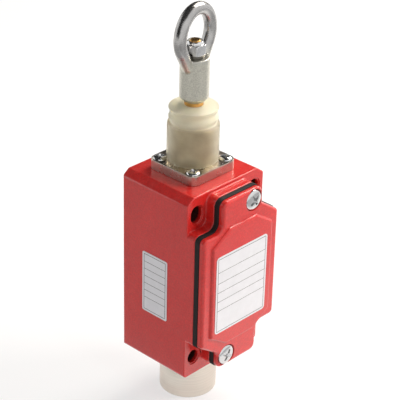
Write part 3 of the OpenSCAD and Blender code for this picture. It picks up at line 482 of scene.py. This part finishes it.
def label_material(name, across_axis, centre, width, height, rules):
    """Blank film with a thin border and plain ruled lines; rules are heights as shares of the label."""
    material, tree, shader = blank_material(name, Coat_Weight=0.3, Coat_Roughness=0.15)
    grained(tree, shader, 1400.0, 0.34, 0.06, 0.000004)
    axes = object_axes(tree)
    across = math_node(tree, "SUBTRACT", axes[across_axis], centre["XYZ".index(across_axis)])
    along = math_node(tree, "SUBTRACT", axes["Z"], centre[2])
    margin, ink_width = 0.9 * MM, 0.11 * MM
    side = math_node(tree, "ABSOLUTE", across)
    end = math_node(tree, "ABSOLUTE", along)
    inside_side = math_node(tree, "LESS_THAN", side, width / 2 - margin)
    inside_end = math_node(tree, "LESS_THAN", end, height / 2 - margin)
    uprights = line_mask(tree, side, width / 2 - margin, ink_width)
    levels = line_mask(tree, end, height / 2 - margin, ink_width)
    total = math_node(tree, "ADD", math_node(tree, "MULTIPLY", uprights, inside_end),
                      math_node(tree, "MULTIPLY", levels, inside_side))
    for share in rules:
        rule = line_mask(tree, along, (share - 0.5) * height, ink_width * 0.8)
        total = math_node(tree, "ADD", total, math_node(tree, "MULTIPLY", rule, inside_side), clamp=True)
    plain, cloudy = tuple(colours().film), map_range(tree, noise(tree, 300.0), 0.3, 0.7, 0.0, 1.0)
    film = mix_colours(tree, cloudy, shade(plain, 0.97), shade(plain, 1.03))
    base_colour(tree, shader, total, film, tuple(colours().ink))
    return material


# ---- Meshes ---------------------------------------------------------------

def new_object(name, mesh, *materials):
    obj = bpy.data.objects.new(name, mesh)
    bpy.context.scene.collection.objects.link(obj)
    if materials:
        mesh.materials.clear()
    for material in materials:
        mesh.materials.append(material)
    return obj


def smooth_shading(mesh, angle=SHARP_ANGLE):
    mesh.polygons.foreach_set("use_smooth", [True] * len(mesh.polygons))
    mesh.set_sharp_from_angle(angle=math.radians(angle))


def applied(obj):
    """The object with its modifiers made part of its mesh."""
    evaluated = obj.evaluated_get(bpy.context.evaluated_depsgraph_get())
    mesh = bpy.data.meshes.new_from_object(evaluated)
    obj.modifiers.clear()
    old = obj.data
    obj.data = mesh
    bpy.data.meshes.remove(old)
    return obj


def merged_copy(node, flat_angle=0.5):
    """A CAD node's mesh as a bmesh, its loose triangles joined and its flat faces made whole."""
    bm = bmesh.new()
    bm.from_mesh(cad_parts[node].data)
    bmesh.ops.remove_doubles(bm, verts=bm.verts, dist=WELD)
    bmesh.ops.dissolve_degenerate(bm, edges=bm.edges, dist=SLIVER)
    bmesh.ops.dissolve_limit(bm, angle_limit=math.radians(flat_angle), verts=bm.verts, edges=bm.edges)
    return bm


def mesh_from(bm, name):
    mesh = bpy.data.meshes.new(name)
    bm.to_mesh(mesh)
    bm.free()
    return mesh


def split_floors(bm, holes):
    """Cuts the flat faces round each (x, z, reach) hole along Y, so that no face has a hole in it."""
    for x, z, reach in holes:
        for centre, across in (((x, 0, z), (1, 0, 0)), ((x, 0, z), (0, 0, 1))):
            flat = []
            for face in bm.faces:
                near = any(math.hypot(vert.co.x - x, vert.co.z - z) < reach for vert in face.verts)
                if near and abs(face.normal.y) > SQUARE_ON:
                    flat.append(face)
            parts = set(flat)
            for face in flat:
                parts.update(face.verts, face.edges)
            bmesh.ops.bisect_plane(bm, geom=list(parts), dist=WELD, plane_co=centre, plane_no=across)


def split_towards(bm, tip, reach, steps=5):
    """Cuts the long edges that end at a tip into short ones near it, so that their rounding can taper."""
    long_edges = [edge for edge in bm.edges if edge.calc_length() > 2 * reach
                  and min((vert.co - tip).length for vert in edge.verts) < 0.02 * MM]
    for edge in long_edges:
        far = max(edge.verts, key=lambda vert: (vert.co - tip).length)
        for k in range(steps, 0, -1):
            length_now = edge.calc_length()
            edge, middle_vert = bmesh.utils.edge_split(edge, far, 1 - reach * k / steps / length_now)
            near = [part for part in middle_vert.link_edges if far not in part.verts]
            edge = min(near, key=lambda part: (part.other_vert(middle_vert).co - tip).length)
            far = middle_vert


def softened(node, name, width, material, narrow=(), tips=(), rear=None, core=None):
    """A copy of a CAD node with its sharp edges rounded.

    narrow lists (x, z, reach) columns along Y, where flat faces are cut through the middle and only
    a third of the rounding fits. tips lists points that two edges run into and where it tapers off,
    and edges behind rear stay sharp.
    core cuts a ring about the vertical axis in two, so that its flat ends have no hole in them,
    and keeps the edges within that radius sharp.
    """
    bm = merged_copy(node)
    split_floors(bm, narrow)
    if core is not None:
        bmesh.ops.bisect_plane(bm, geom=[*bm.verts, *bm.edges, *bm.faces], dist=WELD,
                               plane_co=(0, 0, 0), plane_no=(1, 0, 0))
    for tip in tips:
        split_towards(bm, tip, TIP_REACH)
    weights = bm.edges.layers.float.new("bevel_weight_edge")
    for edge in bm.edges:
        if len(edge.link_faces) != 2 or edge.calc_face_angle() < math.radians(SHARP_ANGLE):
            continue
        if rear is not None and min(vert.co.y for vert in edge.verts) > rear:
            continue
        place_at = (edge.verts[0].co + edge.verts[1].co) / 2
        if core is not None and math.hypot(place_at.x, place_at.y) < core:
            continue
        tight = any(math.hypot(place_at.x - x, place_at.z - z) < reach for x, z, reach in narrow)
        taper = min([1.0] + [((place_at - tip).length / TIP_REACH) ** 2 for tip in tips])
        edge[weights] = min(TIGHT_SHARE if tight else 1.0, max(taper, LEAST_SHARE))
    mesh = mesh_from(bm, name)
    smooth_shading(mesh)
    obj = new_object(name, mesh, material)
    bevel = obj.modifiers.new("Soft edges", "BEVEL")
    bevel.width = width
    bevel.segments = 2
    bevel.limit_method = "WEIGHT"
    bevel.use_clamp_overlap = False
    weighted = obj.modifiers.new("Even shading", "WEIGHTED_NORMAL")
    weighted.keep_sharp = True
    return applied(obj)


def lathe(name, profile, material, segments, angle=SHARP_ANGLE):
    """A closed profile of (radius, height) points turned about a vertical axis."""
    bm = bmesh.new()
    rings = []
    for k in range(segments):
        turn = 2 * math.pi * k / segments
        rings.append([bm.verts.new((r * math.cos(turn), r * math.sin(turn), z)) for r, z in profile])
    count = len(profile)
    for k, ring in enumerate(rings):
        following = rings[(k + 1) % segments]
        for j in range(count):
            i = (j + 1) % count
            bm.faces.new((ring[j], following[j], following[i], ring[i]))
    bmesh.ops.remove_doubles(bm, verts=bm.verts, dist=1e-6)
    bmesh.ops.recalc_face_normals(bm, faces=bm.faces)
    mesh = mesh_from(bm, name)
    smooth_shading(mesh, angle)
    return new_object(name, mesh, material)


def arc(centre, radius, start, end, steps):
    """Points of an arc in (radius, height), from one angle to another, in degrees."""
    turns = (math.radians(start + (end - start) * k / steps) for k in range(steps + 1))
    return [(centre[0] + radius * math.cos(turn), centre[1] + radius * math.sin(turn)) for turn in turns]


def place(obj, body, slot, *nodes):
    """Lets a finished piece stand for its CAD nodes and ride with their body."""
    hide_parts(*nodes)
    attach(obj, body)
    return obj


def coat_node(node, material):
    """Gives a CAD node that keeps its own mesh its finish."""
    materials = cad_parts[node].data.materials
    materials.clear()
    materials.append(material)


# ---- Operators ------------------------------------------------------------

def pocket_tips():
    """The points on the box's sides where the corners beside the pockets run out under the cover's seat."""
    bm = merged_copy("housing")
    half_width, hair, shortest, square = high("housing").x, 0.01 * MM, 5 * MM, 1.2
    upright = [edge for edge in bm.edges
               if all(abs(vert.co.x) > half_width - hair and vert.co.y < 0 for vert in edge.verts)
               and abs(edge.verts[0].co.y - edge.verts[1].co.y) < hair and edge.calc_length() > shortest
               and edge.calc_face_angle(0) > square]
    pocket_y = max(edge.verts[0].co.y for edge in upright)
    middle_z = middle("front_cover").z
    tips = [min((vert.co.copy() for vert in edge.verts), key=lambda co: abs(co.z - middle_z))
            for edge in upright if abs(edge.verts[0].co.y - pocket_y) < hair]
    bm.free()
    return tips


class SWITCH_OT_box(bpy.types.Operator):
    """Make the painted box, its cover and the gasket between them"""

    bl_idname = "switch.box"
    bl_label = "Box and cover"

    def execute(self, context):
        paint = paint_material()
        size = sizes()
        hole_reach, rear_round = 4.4 * MM, 1.4 * MM
        holes = [(side * FIX_X, height, hole_reach) for side in (-1, 1) for height, _ in FIX_HEIGHTS]
        casting = softened("housing", "box_casting", size.paint_edge, paint, narrow=holes,
                           tips=pocket_tips(), rear=high("housing").y - rear_round)
        place(casting, "box", "red_paint", "housing")
        cover = softened("front_cover", "cover_casting", size.paint_edge * 0.6, paint)
        place(cover, "box", "red_paint", "front_cover")
        gasket = softened("cover_gasket", "gasket_rubber", size.rubber_edge, rubber_material())
        place(gasket, "box", "black_rubber", "cover_gasket")
        return {"FINISHED"}


class SWITCH_OT_labels(bpy.types.Operator):
    """Make the two blank label plates"""

    bl_idname = "switch.labels"
    bl_label = "Labels"

    def execute(self, context):
        for node, axis, rules in (("front_label", "X", (0.8, 0.66, 0.54, 0.42, 0.3)),
                                  ("side_label", "Y", (0.84, 0.72, 0.6, 0.48, 0.36, 0.24))):
            lo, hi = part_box(node)
            extent = hi - lo
            width = extent["XYZ".index(axis)]
            finish = label_material(f"{node}_film", axis, middle(node), width, extent.z, rules)
            plate = softened(node, f"{node}_plate", 0.04 * MM, finish)
            place(plate, "box", "label_film", node)
        return {"FINISHED"}


def screw_profile(head_r, head_h, shank_r, pitch, shank_h):
    """Half outline of a pan-head screw with a ridged thread, standing on zero height."""
    crown = head_h * 0.55
    points = [(0, head_h)]
    points += [(head_r * math.cos(a), head_h - crown + crown * math.sin(a))
               for a in (math.radians(90 - 9 * k) for k in range(1, 11))]
    points += [(head_r, 0.1 * MM), (head_r - 0.1 * MM, 0), (shank_r, 0)]
    ridges = int(shank_h / pitch)
    depth = pitch * 0.3
    for k in range(1, ridges):
        z = -k * pitch
        points += [(shank_r, z + pitch * 0.1), (shank_r - depth, z - pitch * 0.4),
                   (shank_r, z - pitch * 0.8)]
    points += [(shank_r, -shank_h + 0.4 * MM), (shank_r - 0.4 * MM, -shank_h), (0, -shank_h)]
    return points


def cross_cutter(head_r, depth, top):
    """A tapered cross that cuts the driver recess."""
    bm = bmesh.new()
    mouth = (top + 0.5 * MM, head_r * 0.72, head_r * 0.17)
    root = (top - depth, head_r * 0.45, head_r * 0.1)
    for turn in (0, math.pi / 2):
        spin = Matrix.Rotation(turn, 3, "Z")
        upper, lower = ([bm.verts.new(spin @ Vector((x * reach, y * half, z)))
                         for x, y in ((-1, -1), (1, -1), (1, 1), (-1, 1))]
                        for z, reach, half in (mouth, root))
        bm.faces.new(upper)
        bm.faces.new(reversed(lower))
        for k in range(4):
            n = (k + 1) % 4
            bm.faces.new((upper[n], upper[k], lower[k], lower[n]))
    bmesh.ops.recalc_face_normals(bm, faces=bm.faces)
    return new_object("cross_cutter", mesh_from(bm, "cross_cutter"))


def cross_screw(name, head_r, head_h, thread, shank_h, material):
    screw = lathe(name, screw_profile(head_r, head_h, *thread, shank_h), material, segments=48)
    cutter = cross_cutter(head_r, head_h * 0.7, head_h)
    cut = screw.modifiers.new("Cut", "BOOLEAN")
    cut.operation = "DIFFERENCE"
    cut.solver = "EXACT"
    cut.use_self = True
    cut.object = cutter
    applied(screw)
    bpy.data.objects.remove(cutter)
    smooth_shading(screw.data)
    return screw


def scatter_tree(name, square):
    """A geometry node tree that sets a screw at the corners of a square or at the ends of a diagonal."""
    tree = bpy.data.node_groups.new(name, "GeometryNodeTree")
    sockets = tree.interface
    sockets.new_socket("Geometry", in_out="INPUT", socket_type="NodeSocketGeometry")
    for label in ("Across", "Along", "Spin", "Tilt"):
        sockets.new_socket(label, in_out="INPUT", socket_type="NodeSocketFloat")
    sockets.new_socket("Seat", in_out="INPUT", socket_type="NodeSocketVector")
    sockets.new_socket("Finish", in_out="INPUT", socket_type="NodeSocketMaterial")
    sockets.new_socket("Geometry", in_out="OUTPUT", socket_type="NodeSocketGeometry")
    nodes, links = tree.nodes, tree.links
    start, end = nodes.new("NodeGroupInput"), nodes.new("NodeGroupOutput")
    if square:
        places = nodes.new("GeometryNodeMeshGrid")
        places.inputs["Vertices X"].default_value = 2
        places.inputs["Vertices Y"].default_value = 2
        links.new(start.outputs["Across"], places.inputs["Size X"])
        links.new(start.outputs["Along"], places.inputs["Size Y"])
    else:
        places = nodes.new("GeometryNodeMeshLine")
        places.mode = "END_POINTS"
        places.inputs["Count"].default_value = 2
        for sign, label in ((-0.5, "Start Location"), (0.5, "Offset")):
            corner = nodes.new("ShaderNodeCombineXYZ")
            for axis, source in (("X", "Across"), ("Y", "Along")):
                scaled = nodes.new("ShaderNodeMath")
                scaled.operation = "MULTIPLY"
                scaled.inputs[1].default_value = sign
                links.new(start.outputs[source], scaled.inputs[0])
                links.new(scaled.outputs[0], corner.inputs[axis])
            links.new(corner.outputs[0], places.inputs[label])
    turn = nodes.new("FunctionNodeRandomValue")
    turn.data_type = "FLOAT"
    turn.inputs["Seed"].default_value = 7
    links.new(start.outputs["Spin"], turn.inputs["Max"])
    spin = nodes.new("ShaderNodeCombineXYZ")
    links.new(next(out for out in turn.outputs if out.enabled), spin.inputs["Z"])
    instances = nodes.new("GeometryNodeInstanceOnPoints")
    links.new(places.outputs["Mesh"], instances.inputs["Points"])
    links.new(start.outputs["Geometry"], instances.inputs["Instance"])
    links.new(spin.outputs[0], instances.inputs["Rotation"])
    realized = nodes.new("GeometryNodeRealizeInstances")
    links.new(instances.outputs["Instances"], realized.inputs["Geometry"])
    moved = nodes.new("GeometryNodeTransform")
    tilt = nodes.new("ShaderNodeCombineXYZ")
    links.new(start.outputs["Tilt"], tilt.inputs["X"])
    links.new(realized.outputs["Geometry"], moved.inputs["Geometry"])
    links.new(start.outputs["Seat"], moved.inputs["Translation"])
    links.new(tilt.outputs[0], moved.inputs["Rotation"])
    finish = nodes.new("GeometryNodeSetMaterial")
    links.new(moved.outputs["Geometry"], finish.inputs["Geometry"])
    links.new(start.outputs["Finish"], finish.inputs["Material"])
    links.new(finish.outputs["Geometry"], end.inputs["Geometry"])
    return tree


def scatter(obj, tree, **values):
    modifier = obj.modifiers.new("Places", "NODES")
    modifier.node_group = tree
    for item in tree.interface.items_tree:
        if item.in_out == "INPUT" and item.name in values:
            modifier[item.identifier] = values[item.name]
    return applied(obj)


class SWITCH_OT_screws(bpy.types.Operator):
    """Set the cover screws and the flange screws"""

    bl_idname = "switch.screws"
    bl_label = "Screws"

    def execute(self, context):
        zinc = metal("Bright zinc")
        lo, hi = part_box("cover_screws")
        head_r, head_h = 3.9 * MM, 1.9 * MM
        seat_y = lo.y + head_h
        screw = cross_screw("cover_screw_pair", head_r, head_h, M4, hi.y - seat_y, zinc)
        scatter(screw, scatter_tree("Screw pair", False), Across=hi.x - lo.x - 2 * head_r,
                Along=hi.z - lo.z - 2 * head_r, Spin=1.4, Seat=(0, seat_y, (hi.z + lo.z) / 2),
                Tilt=math.pi / 2, Finish=zinc)
        place(screw, "box", "bright_zinc", "cover_screws")
        lo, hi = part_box("flange_screws")
        head_r, head_h = 2.55 * MM, 1.9 * MM
        seat_z = hi.z - head_h
        screw = cross_screw("flange_screw_set", head_r, head_h, M3, seat_z - lo.z, zinc)
        scatter(screw, scatter_tree("Screw square", True), Across=hi.x - lo.x - 2 * head_r,
                Along=hi.y - lo.y - 2 * head_r, Spin=1.5, Seat=(0, 0, seat_z), Tilt=0.0, Finish=zinc)
        place(screw, "box", "bright_zinc", "flange_screws")
        return {"FINISHED"}


class SWITCH_OT_head(bpy.types.Operator):
    """Finish the head flange and what lies under it"""

    bl_idname = "switch.head"
    bl_label = "Head flange"

    def execute(self, context):
        flange = softened("head_flange", "flange_casting", sizes().metal_edge, metal("Plated flange"))
        place(flange, "box", "zinc_casting", "head_flange")
        coat_node("flange_o_ring", bpy.data.materials["Black rubber"])
        coat_node("guide_bush", metal("Sintered bronze"))
        return {"FINISHED"}


def boot_profile(foot, skirt_top, tip):
    """Half section of the boot: a plain skirt, two folds and a flat cone up to the rod."""
    skirt_r, fold_r, groove_r, rod_r = 9.5 * MM, 9.05 * MM, 8.3 * MM, 3.52 * MM
    inner_r, wall, pitch = 7.5 * MM, 0.9 * MM, 3.5 * MM
    first = skirt_top + 0.4 * MM
    steps = 40

    def fold(h):
        return (fold_r + groove_r) / 2 - (fold_r - groove_r) / 2 * math.cos(2 * math.pi * h / pitch)

    heights = [1.62 * pitch * k / steps for k in range(steps + 1)]
    outer = [(fold(h), first + h) for h in heights]
    inner = [(fold(h) - wall, first + h) for h in heights]
    shoulder = arc((skirt_r - 0.8 * MM, skirt_top - 0.8 * MM), 0.8 * MM, 0, 90, 8)
    crown = [(fold_r - 0.45 * MM, tip - 0.75 * MM), (fold_r - 1.1 * MM, tip - 0.5 * MM),
             (rod_r + 1.5 * MM, tip - 0.08 * MM), (rod_r + 1.0 * MM, tip), (rod_r, tip)]
    under = [(rod_r, tip - 1.2 * MM), (fold_r - 1.9 * MM, tip - 1.3 * MM)]
    return ([(inner_r, foot), (skirt_r - 0.35 * MM, foot), (skirt_r - 0.1 * MM, foot + 0.2 * MM),
             (skirt_r, foot + 0.6 * MM)]
            + shoulder + outer + crown + under + inner[::-1] + [(inner_r, skirt_top - 0.6 * MM)])


class SWITCH_OT_boot(bpy.types.Operator):
    """Make the translucent boot"""

    bl_idname = "switch.boot"
    bl_label = "Boot"

    def execute(self, context):
        foot, tip = low("boot").z, high("boot").z
        over_bush, collar, step = 1.2 * MM, 0.6 * MM, 0.1 * MM
        skirt_top = high("guide_bush").z + over_bush
        skirt, folds = tuple(colours().skirt), tuple(colours().boot)
        # Painted shade: the skirt is tinted darker than the folds, for the dark bush and shade seen through
        # its wall.
        clear = boot_material("Clear rubber", 0.85, (0.62, 0.57, 0.44), shade(skirt, 1.1))
        cloudy = boot_material("Cloudy rubber", 0.5, shade(folds, 0.94), shade(folds, 1.06))
        boot = lathe("rubber_boot", boot_profile(foot, skirt_top, tip), clear, segments=128, angle=60.0)
        boot.data.materials.append(cloudy)
        for face in boot.data.polygons:
            face.material_index = int(face.center.z > skirt_top + step)
        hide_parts("boot")
        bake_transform(boot)
        return {"FINISHED"}


class SWITCH_OT_eye(bpy.types.Operator):
    """Make the cast eye with its soft blends, and the nut in it"""

    bl_idname = "switch.eye"
    bl_label = "Rope eye and nut"

    def execute(self, context):
        size = sizes()
        mesh = mesh_from(merged_copy("rope_eye", 0.01), "cast_eye")
        eye = new_object("cast_eye", mesh, casting_material())
        skin = eye.modifiers.new("Skin", "REMESH")
        skin.mode = "VOXEL"
        skin.voxel_size = size.eye_grain
        relax = eye.modifiers.new("Relax", "SMOOTH")
        relax.factor = 0.5
        relax.iterations = size.eye_smoothing
        applied(eye)
        smooth_shading(eye.data, 70.0)
        place(eye, "eye", "zinc_casting", "rope_eye")
        zinc = metal("Bright zinc")
        nut = softened("lock_nut", "nut_casting", size.metal_edge, zinc, core=3.1 * MM)
        place(nut, "plunger", "bright_zinc", "lock_nut")
        coat_node("nut_insert", plastic_material("Nylon", (0.75, 0.74, 0.68), 0.45))
        return {"FINISHED"}


class SWITCH_OT_rod(bpy.types.Operator):
    """Finish the rod, its washer, its clip and the return spring"""

    bl_idname = "switch.rod"
    bl_label = "Pull rod"

    def execute(self, context):
        coat_node("pull_rod", metal("Turned brass"))
        # The washer's dark steel is partly its own colour and partly painted shade under the nut.
        coat_node("thrust_washer", metal("Oiled steel"))
        for node in ("rod_clip", "spring_plate", "return_spring"):
            coat_node(node, metal("Spring steel"))
        return {"FINISHED"}


class SWITCH_OT_adapter(bpy.types.Operator):
    """Make the conduit adapter with its thread"""

    bl_idname = "switch.adapter"
    bl_label = "Conduit adapter"

    def execute(self, context):
        lo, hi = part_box("conduit_adapter")
        body_top = low("adapter_seal").z
        outer_r, edge = hi.x, 0.7 * MM
        spigot_r, passage_r, core_r = 9.16 * MM, 6.2 * MM, 7.19 * MM
        pitch, thread_top = sizes().thread_pitch, 12 * MM
        thread = []
        for k in range(int(thread_top / pitch) - 1):
            z = thread_top - 1.2 * MM - k * pitch
            thread += [(core_r, z), (core_r, z - 0.2 * MM), (core_r + 0.75 * MM, z - 0.75 * MM),
                       (core_r + 0.75 * MM, z - 0.85 * MM), (core_r, z - 1.3 * MM)]
        profile = ([(core_r, lo.z + 0.9 * MM), (core_r + 0.8 * MM, lo.z)]
                   + arc((outer_r - edge, lo.z + edge), edge, -90, 0, 6)
                   + arc((outer_r - 0.15 * MM, body_top - 0.15 * MM), 0.15 * MM, 0, 90, 3)
                   + [(spigot_r, body_top), (spigot_r, hi.z - 0.6 * MM), (spigot_r - 0.6 * MM, hi.z),
                      (passage_r, hi.z), (passage_r, thread_top), (core_r, thread_top)] + thread)
        adapter = lathe("adapter_body", profile, adapter_material(), segments=128)
        place(adapter, "box", "nickel", "conduit_adapter")
        coat_node("adapter_seal", bpy.data.materials["Black rubber"])
        return {"FINISHED"}


class SWITCH_OT_inside(bpy.types.Operator):
    """Finish the contact block and the earth terminal"""

    bl_idname = "switch.inside"
    bl_label = "Contact block"

    def execute(self, context):
        finishes = {
            plastic_material("Black moulding", (0.02, 0.02, 0.022), 0.4): ("contact_base", "contact_lid"),
            bpy.data.materials["Nylon"]: ("slider",),
            metal("Turned brass"): ("contact_bridges", "fixed_contacts"),
            metal("Spring steel"): ("bridge_springs",),
            metal("Silver contact"): ("contact_tips",),
            metal("Bright zinc"): (
                "terminal_screws", "clamp_washers", "insert_screws", "earth_screw", "earth_washer"),
        }
        for material, nodes in finishes.items():
            for node in nodes:
                coat_node(node, material)
        return {"FINISHED"}


# ---- Studio ---------------------------------------------------------------

WARM = (1.0, 0.94, 0.86)


def ray_mix(tree, camera_output, other_output, factor=1.0):
    """Shows one shader to the camera and to mirrored or refracted rays, and the other to everything else."""
    path = tree.nodes.new("ShaderNodeLightPath").outputs
    mirrored = math_node(tree, "ADD", path["Is Glossy Ray"], path["Is Transmission Ray"])
    seen = math_node(tree, "ADD", path["Is Camera Ray"], mirrored, clamp=True)
    mix = tree.nodes.new("ShaderNodeMixShader")
    tree.links.new(math_node(tree, "MULTIPLY", seen, factor), mix.inputs[0])
    tree.links.new(other_output, mix.inputs[1])
    tree.links.new(camera_output, mix.inputs[2])
    return mix.outputs[0]


def glow(tree, kind, strength):
    node = tree.nodes.new(kind)
    node.inputs["Color"].default_value = (1, 1, 1, 1)
    node.inputs["Strength"].default_value = strength
    return node.outputs[0]


def area_lamp(name, place_at, look_at, side, power):
    light = bpy.data.lights.new(name, "AREA")
    light.color = WARM
    light.shape = "SQUARE"
    light.size = side
    light.energy = power
    lamp = bpy.data.objects.new(name, light)
    bpy.context.scene.collection.objects.link(lamp)
    lamp.location = place_at
    lamp.rotation_euler = (Vector(look_at) - Vector(place_at)).to_track_quat("-Z", "Y").to_euler()
    return lamp


def card(name, place_at, look_at, width, height, grey, fade=0.0):
    """A grey studio card that only shows in glossy finishes, so that they mirror more than plain white.

    Over the first share of its height, fade, it goes from white to its grey.
    """
    bm = bmesh.new()
    bmesh.ops.create_grid(bm, x_segments=1, y_segments=1, size=0.5)
    material, tree, _ = blank_material(name)
    emission = tree.nodes.new("ShaderNodeEmission")
    emission.inputs["Color"].default_value = (1, 1, 1, 1)
    emission.inputs["Strength"].default_value = grey
    if fade:
        faded = map_range(tree, object_axes(tree)["Y"], -0.5, fade - 0.5, 1.0, grey)
        tree.links.new(faded, emission.inputs["Strength"])
    tree.links.new(emission.outputs[0], tree.nodes["Material Output"].inputs["Surface"])
    flag = new_object(name, mesh_from(bm, name), material)
    flag.scale = (width, height, 1)
    flag.location = place_at
    flag.rotation_euler = (Vector(look_at) - Vector(place_at)).to_track_quat("Z", "Y").to_euler()
    for ray in ("camera", "diffuse", "transmission", "volume_scatter", "shadow"):
        setattr(flag, f"visible_{ray}", False)


def floor_card(name, centre, turn, width, depth, grey, fade):
    """A card that lies just above the floor; turn is the way its grey end points, in degrees from +Y."""
    lift = 2 * MM
    card(name, (*centre, lift), (*centre, 1.0), width, depth, grey, fade)
    bpy.data.objects[name].rotation_euler = (0, 0, math.radians(turn))


class SWITCH_OT_stage(bpy.types.Operator):
    """Set the floor, the surroundings, the lamps and the camera"""

    bl_idname = "switch.stage"
    bl_label = "Studio"

    def execute(self, context):
        settings = context.scene.switch_stage
        context.scene.view_settings.view_transform = "Standard"
        self.add_floor(settings)
        self.add_sky(context, settings)
        centre, lamp_side = (0, 0, 0.08), 0.3
        key = area_lamp("Key", (0.45, -0.45, 0.5), centre, lamp_side, settings.key)
        key.visible_glossy = False
        area_lamp("Top", (0.5, 0.05, 0.52), centre, lamp_side, settings.top)
        for name, spot, width, height in (("Roof card", (-0.1, 0.2, 1.0), 1.6, 1.6),
                                          ("Back card", (0.75, 0.75, 0.55), 1.6, 1.0),
                                          ("Left card", (-0.9, 0.1, 0.5), 1.2, 0.9)):
            card(name, spot, centre, width, height, settings.card)
        floor_card("Side card", (-0.175, 0.12), 90, 0.4, 0.32, settings.side_card, 0.1)
        floor_card("Front card", (0.1, -0.325), 180, 0.9, 0.5, settings.front_card, 0.09)
        floor_card("Fore card", (-0.165, -0.155), 133, 0.2, 0.2, settings.fore_card, 0.1)
        self.add_camera(context, settings)
        return {"FINISHED"}

    def add_floor(self, settings):
        bm = bmesh.new()
        bmesh.ops.create_grid(bm, x_segments=2, y_segments=2, size=4.0)
        material, tree, shader = blank_material("Pale floor", roughness=0.9)
        shader.inputs["Base Color"].default_value = (0.86, 0.86, 0.86, 1)
        output = tree.nodes["Material Output"]
        mixed = ray_mix(tree, glow(tree, "ShaderNodeEmission", 1.0), shader.outputs[0], settings.floor_glow)
        tree.links.new(mixed, output.inputs["Surface"])
        new_object("floor", mesh_from(bm, "floor"), material)

    def add_sky(self, context, settings):
        world = bpy.data.worlds.new("Studio")
        context.scene.world = world
        world.use_nodes = True
        tree = world.node_tree
        tree.nodes.clear()
        output = tree.nodes.new("ShaderNodeOutputWorld")
        seen = glow(tree, "ShaderNodeBackground", 1.0)
        other = glow(tree, "ShaderNodeBackground", settings.sky)
        tree.links.new(ray_mix(tree, seen, other), output.inputs["Surface"])

    def add_camera(self, context, settings):
        azimuth, elevation, roll = (
            math.radians(angle) for angle in (settings.azimuth, settings.elevation, settings.roll))
        back = Vector((math.sin(azimuth) * math.cos(elevation), -math.cos(azimuth) * math.cos(elevation),
                       math.sin(elevation)))
        right = Vector((math.cos(azimuth), math.sin(azimuth), 0))
        up = back.cross(right)
        aim = right * settings.aim_side + Vector((0, 0, settings.aim_height))
        side = right * math.cos(roll) + up * math.sin(roll)
        upright = up * math.cos(roll) - right * math.sin(roll)
        camera_data = bpy.data.cameras.new("Camera")
        camera_data.lens = settings.lens
        camera_data.sensor_width = 36
        camera_data.clip_start = 0.01
        camera = bpy.data.objects.new("Camera", camera_data)
        context.scene.collection.objects.link(camera)
        turn = Matrix((side, upright, back)).transposed().to_4x4()
        camera.matrix_world = Matrix.Translation(aim + back * settings.distance) @ turn
        context.scene.camera = camera


class SWITCH_PT_panel(bpy.types.Panel):
    """Lists the steps that make the switch"""

    bl_label = "Rope pull switch"
    bl_idname = "SWITCH_PT_panel"
    bl_space_type = "VIEW_3D"
    bl_region_type = "UI"
    bl_category = "Switch"

    def draw(self, context):
        column = self.layout.column()
        for group in (context.scene.switch_colours, context.scene.switch_sizes, context.scene.switch_stage):
            for name in group.__annotations__:
                column.prop(group, name)
        for step in STEPS:
            column.operator(step.bl_idname)


STEPS = (SWITCH_OT_box, SWITCH_OT_labels, SWITCH_OT_screws, SWITCH_OT_head, SWITCH_OT_boot, SWITCH_OT_eye,
         SWITCH_OT_rod, SWITCH_OT_adapter, SWITCH_OT_inside, SWITCH_OT_stage)
CLASSES = (SwitchColours, SwitchSizes, SwitchStage, *STEPS, SWITCH_PT_panel)


def register():
    for cls in CLASSES:
        bpy.utils.register_class(cls)
    scene_type = bpy.types.Scene
    scene_type.switch_colours = PointerProperty(type=SwitchColours)
    scene_type.switch_sizes = PointerProperty(type=SwitchSizes)
    scene_type.switch_stage = PointerProperty(type=SwitchStage)


def unregister():
    for name in ("switch_colours", "switch_sizes", "switch_stage"):
        delattr(bpy.types.Scene, name)
    for cls in reversed(CLASSES):
        bpy.utils.unregister_class(cls)


def main():
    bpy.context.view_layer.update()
    register()
    for step in STEPS:
        area, name = step.bl_idname.split(".")
        getattr(getattr(bpy.ops, area), name)()


if __name__ == "__main__":
    main()
